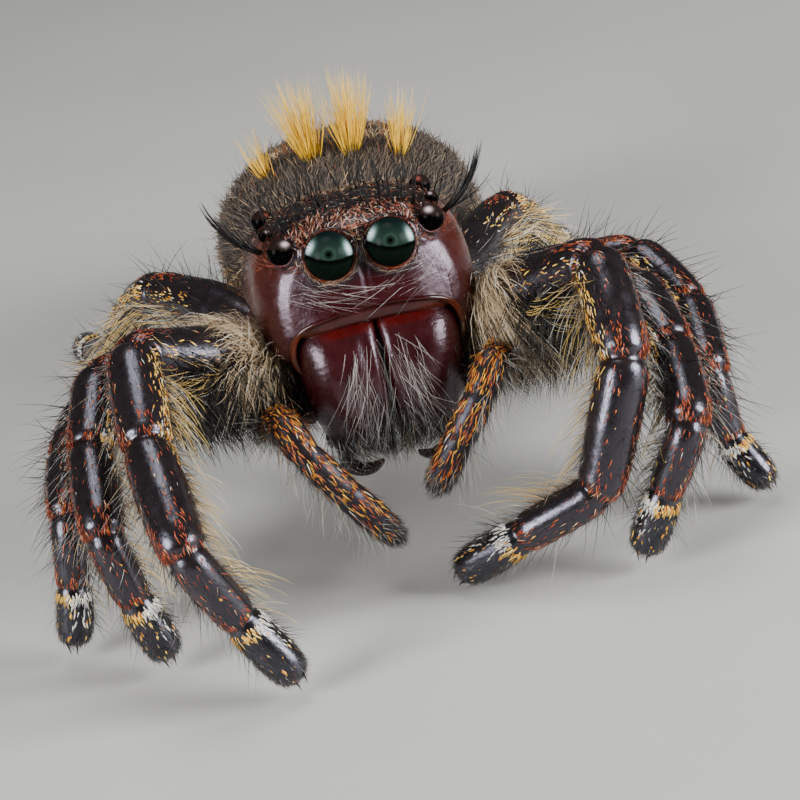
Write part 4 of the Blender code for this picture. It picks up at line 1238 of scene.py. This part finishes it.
def make_fang(side, tag, rows=60):
    """The folded fang: a curved horn."""
    path = front_points(smooth_rows(np.array(FANG) * (side, 1, 1), rows))
    share = np.linspace(0, 1, rows)
    radius = np.interp(share, *zip(*FANG_PROFILE))
    skin = swept(path, unit(np.cross(heading(path), UPWARD)), radius, 28)
    tint = mix((0.010, 0.005, 0.004), (0.035, 0.008, 0.005), share**2)
    skin.show(f"horn_{tag}", tint[:, None], "fang", "fang", f"fang_{tag}")


# The palps

ORANGES = (
    (3, SCALE_YELLOW, GOLD), (4, SCALE_ORANGE, SCALE_YELLOW), (4, SCALE_RED, SCALE_ORANGE),
    (2, RUSSET, SCALE_RED), (0.6, CREAM, WHITE),
)


def make_palps():
    """Black feelers under orange and yellow scales, with a pale fringe beneath."""
    for tag, side in SIDES.items():
        level = np.array((*PALP_UPPER, *PALP_LOWER[tag])) * (side, 1, 1)
        skin = limb_skin(front_points(level), PALP_PROFILE, 1.0, side, 14, 0.5)
        amber = clamp(2.1 - skin.key)[:, None]
        colour = mix(CUTICLE, (0.17, 0.042, 0.010), amber)
        skin.show(f"palp_{tag}", colour, "palp", "palp", f"palp_upper_{tag}", f"palp_lower_{tag}")
        grow_palp(skin, tag)


def grow_palp(skin, tag):
    """Orange scales in rows on the front, dark hair all over and pale hair beneath."""
    flakes = Coat(f"palp_{tag}_scales", skin)

    def bare(b):
        return (1 - 0.95 * sector(b, 0.11, 0.05)) * (1 - 0.8 * sector(b, 0.90, 0.03))

    def in_rows(k, b, p):
        return window(k, 2.6, 5.62, 0.2) * sector(b, 0.05, 0.32, 0.15) * bare(b)

    rows = skin.scatter(640, in_rows)
    knee = skin.scatter(160, stripe((1.8, 3.2, 0.1), (0.0, 0.4, 0.1)))
    dark = skin.scatter(460, lambda k, b, p: window(k, 1.0, 5.9, 0.2))
    browns = ((3, SCALE_RED, COPPER), (4, SOOT, RUSSET))
    flake = {"kind": "scale", "flat": 0.3}
    grow(flakes, rows, ORANGES, (0.20, 0.40), 0.029, lean=(13, 5), turn=(0, 12), rings=3, **flake)
    grow(flakes, knee, ORANGES, (0.20, 0.34), 0.025, lean=(28, 9), turn=(0, 22), rings=3, **flake)
    grow(flakes, dark, browns, (0.18, 0.32), 0.030, lean=(14, 6), rings=2, **flake)
    flakes.finish("scale", "palp")
    hairs = Coat(f"palp_{tag}_hairs", skin)
    black = ((6, BLACK, SOOT), (1, ASH, ASH))
    fringe = ((4, ASH, WHITE), (3, SOOT, ASH), (1, TAN, CREAM))
    ends = ((3, SOOT, ASH), (2, ASH, WHITE))
    hairs.sow(
        1200, lambda k, b, p: window(k, 0.3, 5.98, 0.1), black, (0.2, 0.42), 0.013,
        lean=(26, 8), rings=1,
    )
    hairs.sow(
        560, stripe((1.2, 5.6, 0.2), (0.52, 0.24, 0.1)), fringe, (0.5, 1.15), 0.011,
        lean=(42, 12), turn=(0, 20), bend=0.1, droop=0.1, rings=4, wave=0.05,
    )
    hairs.sow(
        520, lambda k, b, p: window(k, 5.5, 6.0, 0.1), ends, (0.16, 0.36), 0.016,
        lean=(36, 10), turn=(0, 25), rings=1,
    )
    hairs.finish("hair", "palp")


# The legs

def leg_points(tag):
    """Coxa root, hip, knee, patella's end, tibia's end, ankle and toe."""
    side, number, pose = SIDES[tag[0]], int(tag[1]), POSE[tag]

    def step(heading, rise):
        heading, rise = math.radians(heading), math.radians(rise)
        flat = math.cos(rise)
        return np.array((side * math.sin(heading) * flat, -math.cos(heading) * flat, math.sin(rise)))

    points = [front_points(np.array(COXA_ROOTS[number]) * (side, 1, 1))]
    points.append(front_points(np.array(HIPS[number]) * (side, 1, 1)))
    for length, heading, rise in zip(SEGMENTS[number], pose["heading"], pose["rise"]):
        points.append(points[-1] + step(heading, rise) * length)
    tarsus = SEGMENTS[number][-1]
    rise = math.degrees(math.asin((TOE_HEIGHT - points[-1][2]) / tarsus))
    points.append(points[-1] + step(pose["heading"][-1], rise) * tarsus)
    return points


def leg_colours(k):
    """Near-black cuticle, redder at the joints and under the femur, one colour for each row."""
    joint = sum(np.exp(-((k - j) / 0.05) ** 2) for j in (2, 3, 4))
    return layers(
        CUTICLE,
        ((0.010, 0.004, 0.003), clamp(joint) * 0.8),
        ((0.05, 0.022, 0.014), clamp(1.3 - k) * 0.7),
        (BLACK, clamp((k - 4.9) / 0.1)),
    )


def make_legs():
    for tag in POSE:
        thick = LEG_THICKNESS[int(tag[1])]
        skin = limb_skin(leg_points(tag), LEG_PROFILE, thick, SIDES[tag[0]], tall=1.03)
        nodes = [f"leg_{tag}_{piece}" for piece in LEG_PIECES]
        skin.show(f"leg_{tag}", leg_colours(skin.key[:, None]), "leg", "leg", *nodes)
        grow_leg_scales(skin, tag)
        grow_leg_hairs(skin, tag)


def bare_stripes(k, b):
    """One where the cuticle shows: two long stripes along patella and tibia."""
    stripes = np.maximum(sector(b, 0.93, 0.055, 0.03), sector(b, 0.13, 0.03, 0.03))
    return stripes * np.maximum(window(k, 1.35, 3.93, 0.06), window(k, 4.1, 4.8, 0.06) * 0.6)


def grow_leg_scales(skin, tag):
    """Red scales beside the bare stripes, cream ones on the front, a pale band on the tarsus."""
    flakes = Coat(f"leg_{tag}_scales", skin)

    def reds(k, b, p):
        along = window(k, 1.7, 4.95, 0.1) * (0.55 + 1.6 * window(k % 1, 0.72, 1.02, 0.15))
        around = sector(b, 0.83, 0.07, 0.05) + 0.45 * sector(b, 0.03, 0.05, 0.05) + 0.10
        return along * around * (1 - 0.97 * bare_stripes(k, b))

    def creams(k, b, p):
        return window(k, 1.5, 3.3, 0.1) * sector(b, 0.19, 0.06, 0.05) * (0.35 + window(k, 2.0, 3.05, 0.1))

    def whites(k, b, p):
        band = window(k, 5.02, 5.20, 0.05) * sector(b, 0.16, 0.15, 0.06)
        return band + 0.16 * window(k, 5.1, 5.6, 0.1) * sector(b, 0.14, 0.10, 0.06)

    def spots(k, b, p):
        return window(k, 4.3, 5.8, 0.1) * sector(b, 0.96, 0.26, 0.1) * (0.3 + (k > 5))

    def everywhere(k, b, p):
        return window(k, 0.9, 5.5, 0.1) * (1 - 0.97 * bare_stripes(k, b))

    red = (
        (5, SCALE_RED, SCALE_RED), (3, SCALE_RED, COPPER), (3, SCALE_RED, SCALE_ORANGE),
        (4, RUSSET, SCALE_RED), (1.2, SCALE_ORANGE, CREAM),
    )
    cream = (
        (4, CREAM, SCALE_YELLOW), (4, SCALE_YELLOW, STRAW), (2, SCALE_ORANGE, SCALE_YELLOW),
        (1, WHITE, WHITE),
    )
    gold = ((3, SCALE_YELLOW, STRAW), (3, SCALE_ORANGE, SCALE_YELLOW), (2, CREAM, STRAW))
    pale = ((5, WHITE, WHITE), (2, CREAM, WHITE))
    dark = ((4, SOOT, RUSSET), (1, ASH, WHITE), (2, RUSSET, COPPER), (1, SCALE_ORANGE, CREAM))
    for count, where, colours, length, width, lean, turn, rings in (
        (1300, reds, red, (0.20, 0.36), 0.025, (11, 5), 12, 2),
        (270, creams, cream, (0.20, 0.32), 0.042, (12, 5), 12, 3),
        (150 if tag[1] == "2" else 130, whites, pale, (0.16, 0.28), 0.036, (14, 6), 14, 3),
        (90, stripe((5.02, 5.17, 0.05), (0.88, 0.16, 0.06)), gold, (0.16, 0.28), 0.036, (14, 6), 14, 3),
        (70, spots, gold[:2], (0.16, 0.27), 0.062, (9, 4), 14, 3),
        (620, everywhere, dark, (0.16, 0.3), 0.022, (12, 5), 16, 2),
    ):
        flakes.sow(
            count, where, colours, length, width, lean=lean, turn=(0, turn), kind="scale",
            rings=rings, flat=0.3,
        )
    flakes.finish("scale", "leg")


def grow_leg_hairs(skin, tag):
    """Short dark hair all over, long pale hair inside, bristles outside and, on the two front
    pairs of legs, shag under and beside the femur. The thick black shag under it is real hair
    that is also painted shade under the femur."""
    hairs = Coat(f"leg_{tag}_hairs", skin)

    def everywhere(k, b, p):
        return window(k, 0.2, 5.98, 0.05) * (1 - 0.93 * bare_stripes(k, b))

    def beneath(k, b, p):
        return window(k, 1.2, 5.6, 0.1) * (sector(b, 0.5, 0.26, 0.1) + 0.4 * sector(b, 0.25, 0.08, 0.1))

    def inside(k, b, p):
        along = window(k, 1.5, 5.1, 0.1) * (0.25 + window(k % 1, 0.05, 0.75, 0.2))
        return along * sector(b, 0.34, 0.08, 0.05)

    def toe(k, b, p):
        return window(k, 5.1, 6.0, 0.1) * (0.35 + sector(b, 0.5, 0.3, 0.15))

    outside = stripe((1.6, 5.0, 0.1), (0.62, 0.10, 0.06))
    above = stripe((1.2, 4.7, 0.1), (0.88, 0.16, 0.05))
    under_femur_shade_fringe = stripe((0.35, 1.8, 0.15), (0.48, 0.25, 0.1))
    beside_femur = stripe((0.5, 1.40, 0.2), (0.17, 0.20, 0.1))
    dark = ((8, BLACK, SOOT), (0.8, SOOT, ASH), (0.8, RUSSET, COPPER))
    mixed = ((6, BLACK, SOOT), (3, SOOT, ASH), (1, ASH, WHITE))
    straw = ((6, TAN, STRAW), (2, ASH, WHITE), (2, TAN, CREAM))
    stiff = {"lean": (48, 12), "turn": (0, 20), "bend": 0.15, "droop": 0.12, "rings": 5, "wave": 0.04}
    bristle = {"lean": (52, 12), "turn": (0, 25), "bend": 0.1, "rings": 5, "wave": 0.03}
    for count, where, colours, length, width, shape in (
        (2600, everywhere, dark, (0.22, 0.5), 0.013, {"lean": (20, 8), "turn": (0, 14), "rings": 1}),
        (1300, beneath, mixed, (0.4, 0.9), 0.012,
         {"lean": (40, 12), "turn": (0, 18), "bend": 0.15, "rings": 2}),
        (210, inside, straw, (0.9, 1.8), 0.021,
         {"lean": (46, 8), "turn": (0, 12), "bend": 0.32, "rings": 6, "wave": 0.02}),
        (150, outside, ((4, ASH, WHITE), (1, TAN, CREAM)), (0.7, 1.35), 0.013, stiff),
        (100, above, ((1, BLACK, BLACK),), (0.6, 1.35), 0.018, bristle),
        (1500, toe, mixed, (0.10, 0.24), 0.013, {"lean": (38, 12), "turn": (0, 22), "rings": 1}),
    ):
        hairs.sow(count, where, colours, length, width, **shape)
    if tag[1] in "12":
        side = SIDES[tag[0]]
        black = ((9, BLACK, BLACK), (1, BLACK, SOOT), (0.3, SOOT, ASH))
        shag = ((5, TAN, CREAM), (1.6, CREAM, WHITE), (3.2, SOOT, TAN))
        # Thick black shag under the femur: real hair, also painted shade under it.
        hairs.sow(
            1500, under_femur_shade_fringe, black, (0.8, 2.0), 0.030, lean=(40, 14), turn=(0, 16), bend=0.1,
            droop=0.15, rings=3, lay=(-side * 0.35, -0.25, -1.0), wave=0.04,
        )
        hairs.sow(
            1600, beside_femur, shag, (0.8, 1.9), 0.017, lean=(26, 9), turn=(-26, 16), bend=0.2,
            droop=0.52, rings=3, wave=0.03,
        )
    hairs.finish("hair", "leg")
    make_claws(skin, tag)


def make_claws(skin, tag):
    """Two small curved claws at the toe."""
    claws = Coat(f"leg_{tag}_claws", skin)
    roots = Roots(skin, np.full(2, CLAW_STATION), np.array((0.07, 0.93)))
    horn = np.tile((0.02, 0.008, 0.004), (2, 1))
    t = np.linspace(0, 1, len(CLAW_TAPER) + 1)[None, :, None]
    aim = unit(roots.along + roots.normal * 0.2)
    path = roots.place[:, None] + CLAW_LENGTH * (aim[:, None] * t + np.array((0, 0, -0.6)) * t**2)
    wide = np.tile(np.array(CLAW_TAPER) * CLAW_HALF, (2, 1))
    claws.add(roots, path, roots.side, wide, wide, horn, horn, 4)
    claws.finish("fang", "leg")


# The back half

ABDOMEN_AHEAD = unit(ABDOMEN_BACK - ABDOMEN_FRONT)
ABDOMEN_ACROSS = -unit(np.cross(UPWARD, ABDOMEN_AHEAD))
ABDOMEN_UP = -np.cross(ABDOMEN_AHEAD, ABDOMEN_ACROSS)


def abdomen_coordinates(places):
    """The share of the way back, and the distances across and up, of places."""
    away = places - ABDOMEN_FRONT
    share = away @ ABDOMEN_AHEAD / np.linalg.norm(ABDOMEN_BACK - ABDOMEN_FRONT)
    return share, away @ ABDOMEN_ACROSS, away @ ABDOMEN_UP


def make_abdomen():
    """The egg-shaped back half under its coat."""
    rows = smooth_rows(ABDOMEN_OUTLINE, 120)
    x, z = superellipse(110, ABDOMEN_POWER)
    section = x[:, None] * ABDOMEN_ACROSS * ABDOMEN_HALF[0] + z[:, None] * ABDOMEN_UP * ABDOMEN_HALF[1]
    centres = ABDOMEN_FRONT + (ABDOMEN_BACK - ABDOMEN_FRONT) * rows[:, 0][:, None]
    skin = Skin(capped(centres[:, None] + section[None] * rows[:, 1][:, None, None], 0.02, 0.02))
    share, out, high = abdomen_coordinates(skin.grid)
    skin.push(-0.03 * np.abs(np.sin(share * 40)) * window(share, 0.15, 0.95, 0.2))
    colour = mix(SOOT, TAN, abdomen_marks(share, out, high) * 0.5)
    skin.show("abdomen_body", colour, "abdomen", "abdomen_coat", "abdomen")
    grow_abdomen(skin)
    grow_tufts(skin)


def abdomen_marks(share, out, high):
    """One on the paler marks: paired spots that shrink backwards, and a soft band low down."""
    marks = np.zeros(np.shape(share))
    for place, wide in ((0.42, 1.0), (0.56, 0.9), (0.69, 0.75), (0.80, 0.6)):
        spot = ((share - place - 0.012 * np.abs(out)) / 0.022) ** 2
        spot = spot + ((np.abs(out) - 1.35 * wide) / (0.6 * wide)) ** 2
        marks = np.maximum(marks, np.exp(-spot) * (high > 0))
    band = np.exp(-((high + 0.5) / 0.45) ** 2) * window(share, 0.1, 0.85, 0.2)
    return np.maximum(marks, band * 0.6)


def grow_abdomen(skin):
    """Short overlapping hair in two coats, dark and marked, and longer bristles."""

    def unmarked(k, b, p):
        return 1.02 - abdomen_marks(*abdomen_coordinates(p))

    def marked(k, b, p):
        return abdomen_marks(*abdomen_coordinates(p)) ** 1.5

    downs = ((5, DUSK, UMBER), (1, SOOT, UMBER), (0.6, SOOT, RUSSET))
    furs = (
        (7, DUSK, UMBER), (1.4, SOOT, UMBER), (0.6, SOOT, RUSSET), (1.2, UMBER, TAN), (0.3, RUSSET, COPPER),
    )
    pales = ((4, TAN, CREAM), (2, RUSSET, SCALE_ORANGE), (3, SOOT, TAN))
    lock = {"kind": "lock", "flat": 0.5}
    under = Coat("abdomen_coat_under", skin)
    under.sow(10600, None, downs, (0.35, 0.6), 0.036, lean=(20, 6), turn=(0, 14), rings=2, **lock)
    under.finish("soft_hair", "abdomen_coat")
    over = Coat("abdomen_coat_over", skin)
    over.sow(5200, unmarked, furs, (0.45, 0.75), 0.026, lean=(30, 8), turn=(0, 18), rings=3, **lock)
    over.sow(3000, marked, pales, (0.4, 0.7), 0.028, lean=(24, 7), turn=(0, 16), rings=3, **lock)
    over.finish("soft_hair", "abdomen_coat")
    long = Coat("abdomen_bristles", skin)
    darks = ((4, SOOT, DUSK), (2, DUSK, UMBER), (1, DUSK, TAN))
    long.sow(
        620, None, darks, (0.7, 1.1), 0.014, lean=(44, 10), turn=(0, 20), bend=0.12, rings=4,
        wave=0.03,
    )
    long.finish("hair", "abdomen_coat")


def grow_tufts(skin):
    """Four upright golden tufts in a row over the front of the abdomen."""
    tufts = Coat("abdomen_tufts", skin)
    colours = ((5, GOLD, YELLOW), (4, YELLOW, YELLOW), (0.5, YELLOW, CREAM))
    share, out, high = abdomen_coordinates(skin.grid)
    for place, count, tall in TUFTS:
        away = ((share - TUFT_SHARE) * ABDOMEN_LENGTH) ** 2 + (out - place) ** 2 + 100 * (high < 0)
        row, column = np.divmod(np.argmin(away), skin.columns)
        jitter = RNG.standard_normal((2, count))
        a = row / (skin.rows - 1) + jitter[0] * TUFT_ROOT / ABDOMEN_LENGTH / 1.2
        b = column / skin.columns + jitter[1] * TUFT_ROOT / (2 * math.pi * ABDOMEN_HALF[0])
        roots = Roots(skin, a, b)
        fan = 0.15 * (jitter[1][:, None] * -ABDOMEN_ACROSS + jitter[0][:, None] * ABDOMEN_AHEAD)
        fan = fan + ABDOMEN_ACROSS * (place * 0.13)
        upright = ABDOMEN_UP - ABDOMEN_AHEAD * 0.10 + fan
        roots.normal = unit(upright + 0.05 * RNG.standard_normal((count, 3)))
        grow(
            tufts, roots, colours, (1.4 * tall, 2.45 * tall), 0.026, lean=(86, 3), turn=(0, 60),
            bend=0.0, rings=5, wave=0.03,
        )
    tufts.finish("hair", "abdomen_coat")


# The underside

def lump(middle, half, rows=50, columns=60):
    """A rounded plate in the level frame, as a skin that runs front to back."""
    ball = ball_grid(rows, columns, 0.02)
    return ball, Skin(front_points(np.array(middle) + ball * np.array(half)))


def make_underside():
    """Breastplate, mouth lobes, waist and spinnerets."""
    ball, skin = lump(STERNUM["middle"], np.array(STERNUM["half"]) - 0.02, 90, 90)
    scallop = np.cos(ball[..., 1] * 9.5) * clamp(1 - np.abs(ball[..., 2]) * 1.6)
    skin.push(0.035 * scallop)
    colour = mix((0.050, 0.022, 0.014), RUSSET, clamp(ball[..., 0] ** 2))
    skin.show("breastplate", colour, "underside", "underside", "sternum")
    hairs = Coat("underside_hairs", skin, 12)
    furs = ((3, SOOT, SOOT), (2, TAN, CREAM), (1, ASH, WHITE))
    hairs.sow(900, None, furs, (0.2, 0.45), 0.016, lean=(36, 10), turn=(0, 25), rings=2)
    make_mouth(hairs)
    make_waist(hairs)
    make_spinnerets(hairs)
    hairs.finish("hair", "underside")


def make_mouth(hairs):
    """Two lobes and the small lip between them."""
    for name, middle, half in (
        ("mouth_lobe_L", (0.44, -1.78, -2.85), (0.38, 0.33, 0.58)),
        ("mouth_lobe_R", (-0.44, -1.78, -2.85), (0.38, 0.33, 0.58)),
        ("mouth_lip", (0.0, -1.62, -2.72), (0.22, 0.24, 0.42)),
    ):
        ball, skin = lump(middle, half)
        pale = clamp(-ball[..., 2]) ** 3
        colour = mix((0.09, 0.035, 0.015), (0.30, 0.17, 0.07), pale)
        skin.show(name, colour, "underside", "underside", "mouthparts")
        hairs.next_skin(skin)
        hairs.sow(
            120, lambda k, b, p: p[..., 2] < 3.9, ((2, SOOT, ASH), (1, TAN, CREAM)), (0.15, 0.35),
            0.016, lean=(45, 10), rings=2, lay=(0.0, -0.4, -1.0),
        )


def make_waist(hairs):
    """The ringed waist between the two halves."""
    back, _, top, bottom = CARAPACE_STATIONS[-1]
    start = front_points((0, back, (top + bottom) / 2))
    share = np.linspace(-0.06, 1.06, 60)
    skin = tube_skin(start + (ABDOMEN_FRONT - start) * share[:, None], 0.31 + 0.02 * np.cos(share * 22))
    skin.show("waist", (0.05, 0.024, 0.014), "underside", "underside", "pedicel")
    hairs.next_skin(skin)
    hairs.sow(60, None, ((1, SOOT, SOOT),), (0.1, 0.2), 0.012, rings=2)


# Place across and up, length and thickness of each spigot
SPIGOTS = (
    (0.24, 0.20, 0.84, 0.20), (-0.24, 0.20, 0.84, 0.20), (0.25, -0.22, 0.84, 0.21),
    (-0.25, -0.22, 0.84, 0.21), (0.13, 0.0, 0.62, 0.14), (-0.13, 0.0, 0.62, 0.14),
)


def make_spinnerets(hairs):
    """A short ring and three pairs of tapered spigots with hairy ends."""
    ahead, across, up = ABDOMEN_AHEAD, ABDOMEN_ACROSS, ABDOMEN_UP
    root = ABDOMEN_BACK + ahead * 0.02
    share = np.linspace(0, 1, 24)
    radii = 0.50 - 0.10 * share**2 + 0.015 * np.cos(share * 25)
    skin = Skin(capped(tube_skin(root + ahead * (0.5 * share)[:, None], radii).grid, 0.02, 0.10, 8))
    skin.show("spinneret_ring", (0.035, 0.022, 0.016), "underside", "underside", "spinnerets")
    furs = ((2, SOOT, ASH), (1, TAN, CREAM))
    for k, (wide, high, length, thick) in enumerate(SPIGOTS):
        start = root + across * wide + up * high + ahead * 0.22
        way = unit(ahead + across * wide * 0.45 + up * high * 0.45)
        radii = thick * np.interp(share, (0, 0.45, 0.5, 0.9, 1.0), (1.0, 0.95, 0.82, 0.66, 0.25))
        spigot = tube_skin(start + way * (length * share)[:, None], radii, 28)
        spigot.show(f"spigot_{k}", (0.045, 0.030, 0.022), "underside", "underside", "spinnerets")
        hairs.next_skin(spigot)
        hairs.sow(110, None, furs, (0.10, 0.24), 0.014, lean=(26, 8), rings=2)


# The stage

# The camera's place, and its angles in degrees
CAMERA = {"place": (-5.449, -79.077, 34.835), "azimuth": -4.3, "elevation": 22.3, "roll": -11.6}
LENS = 158.8
SENSOR = 36.0
CLIP = (0.001, 10.0)


def stand(obj, place, right, back):
    """Puts a camera or light at a place, looking away from its back."""
    turn = Matrix((right, np.cross(back, right), back)).transposed().to_4x4()
    obj.matrix_world = Matrix.Translation(np.asarray(place) * MM + SHIFT) @ turn
    bpy.context.scene.collection.objects.link(obj)


def make_camera():
    """The photo's view: a long lens from in front and above, rolled a little."""
    camera = bpy.data.objects.new("camera", bpy.data.cameras.new("camera"))
    camera.data.sensor_width = SENSOR
    camera.data.lens = LENS
    camera.data.clip_start, camera.data.clip_end = CLIP
    around, high, roll = (math.radians(CAMERA[key]) for key in ("azimuth", "elevation", "roll"))
    flat = math.cos(high)
    back = np.array((math.sin(around) * flat, -math.cos(around) * flat, math.sin(high)))
    right = np.array((math.cos(around), math.sin(around), 0.0))
    right = math.cos(roll) * right + math.sin(roll) * np.cross(back, right)
    stand(camera, CAMERA["place"], right, back)
    bpy.context.scene.camera = camera


# Name, place, width and radiance of each round soft light
LIGHTS = (
    ("left", (-87, -47, 41), 54, 25.0),
    ("right", (87, -47, 39), 62, 27.0),
    ("above", (0, 18, 96), 52, 6.0),
)
LIGHT_TARGET = (0.0, -2.0, 4.0)
PAPER = (0.45, 0.446, 0.432)
FLOOR_HALF = 0.6
SKY = (0.80, 0.84, 0.90, 1.0)
SKY_STRENGTH = 0.08


def make_light(name, place, size, radiance):
    """A round soft light that looks at the animal. Place and width are in millimetres."""
    data = bpy.data.lights.new(name, "AREA")
    data.shape = "DISK"
    data.size = size * MM
    data.energy = radiance * math.pi * math.pi * (size * MM / 2) ** 2
    obj = bpy.data.objects.new(name, data)
    back = unit(np.array(place, float) - LIGHT_TARGET)
    right = unit(np.cross(UPWARD, back) + (1e-9, 0, 0))
    stand(obj, place, right, back)


def make_stage():
    """Pale floor, soft light from both sides of the camera and from above, a dim sky."""
    mesh = bpy.data.meshes.new("floor")
    corners = [(x * FLOOR_HALF, y * FLOOR_HALF, 0) for x, y in ((-1, -1), (1, -1), (1, 1), (-1, 1))]
    mesh.from_pydata(corners, [], [(0, 1, 2, 3)])
    floor = bpy.data.objects.new("floor", mesh)
    bpy.context.scene.collection.objects.link(floor)
    mesh.materials.append(finish("floor", PAPER, rough=(0.55, 0.7), mottle=(60, 0.02), grain=((900, 2e-6),)))
    for light in LIGHTS:
        make_light(*light)
    world = bpy.data.worlds.new("sky")
    world.use_nodes = True
    sky = world.node_tree.nodes["Background"].inputs
    sky["Color"].default_value = SKY
    sky["Strength"].default_value = SKY_STRENGTH
    bpy.context.scene.world = world


def main():
    make_camera()
    head = make_head()
    make_lip()
    make_walls()
    make_eyes()
    grow_head(head)
    make_jaws()
    make_palps()
    make_legs()
    make_abdomen()
    make_underside()
    make_stage()


main()
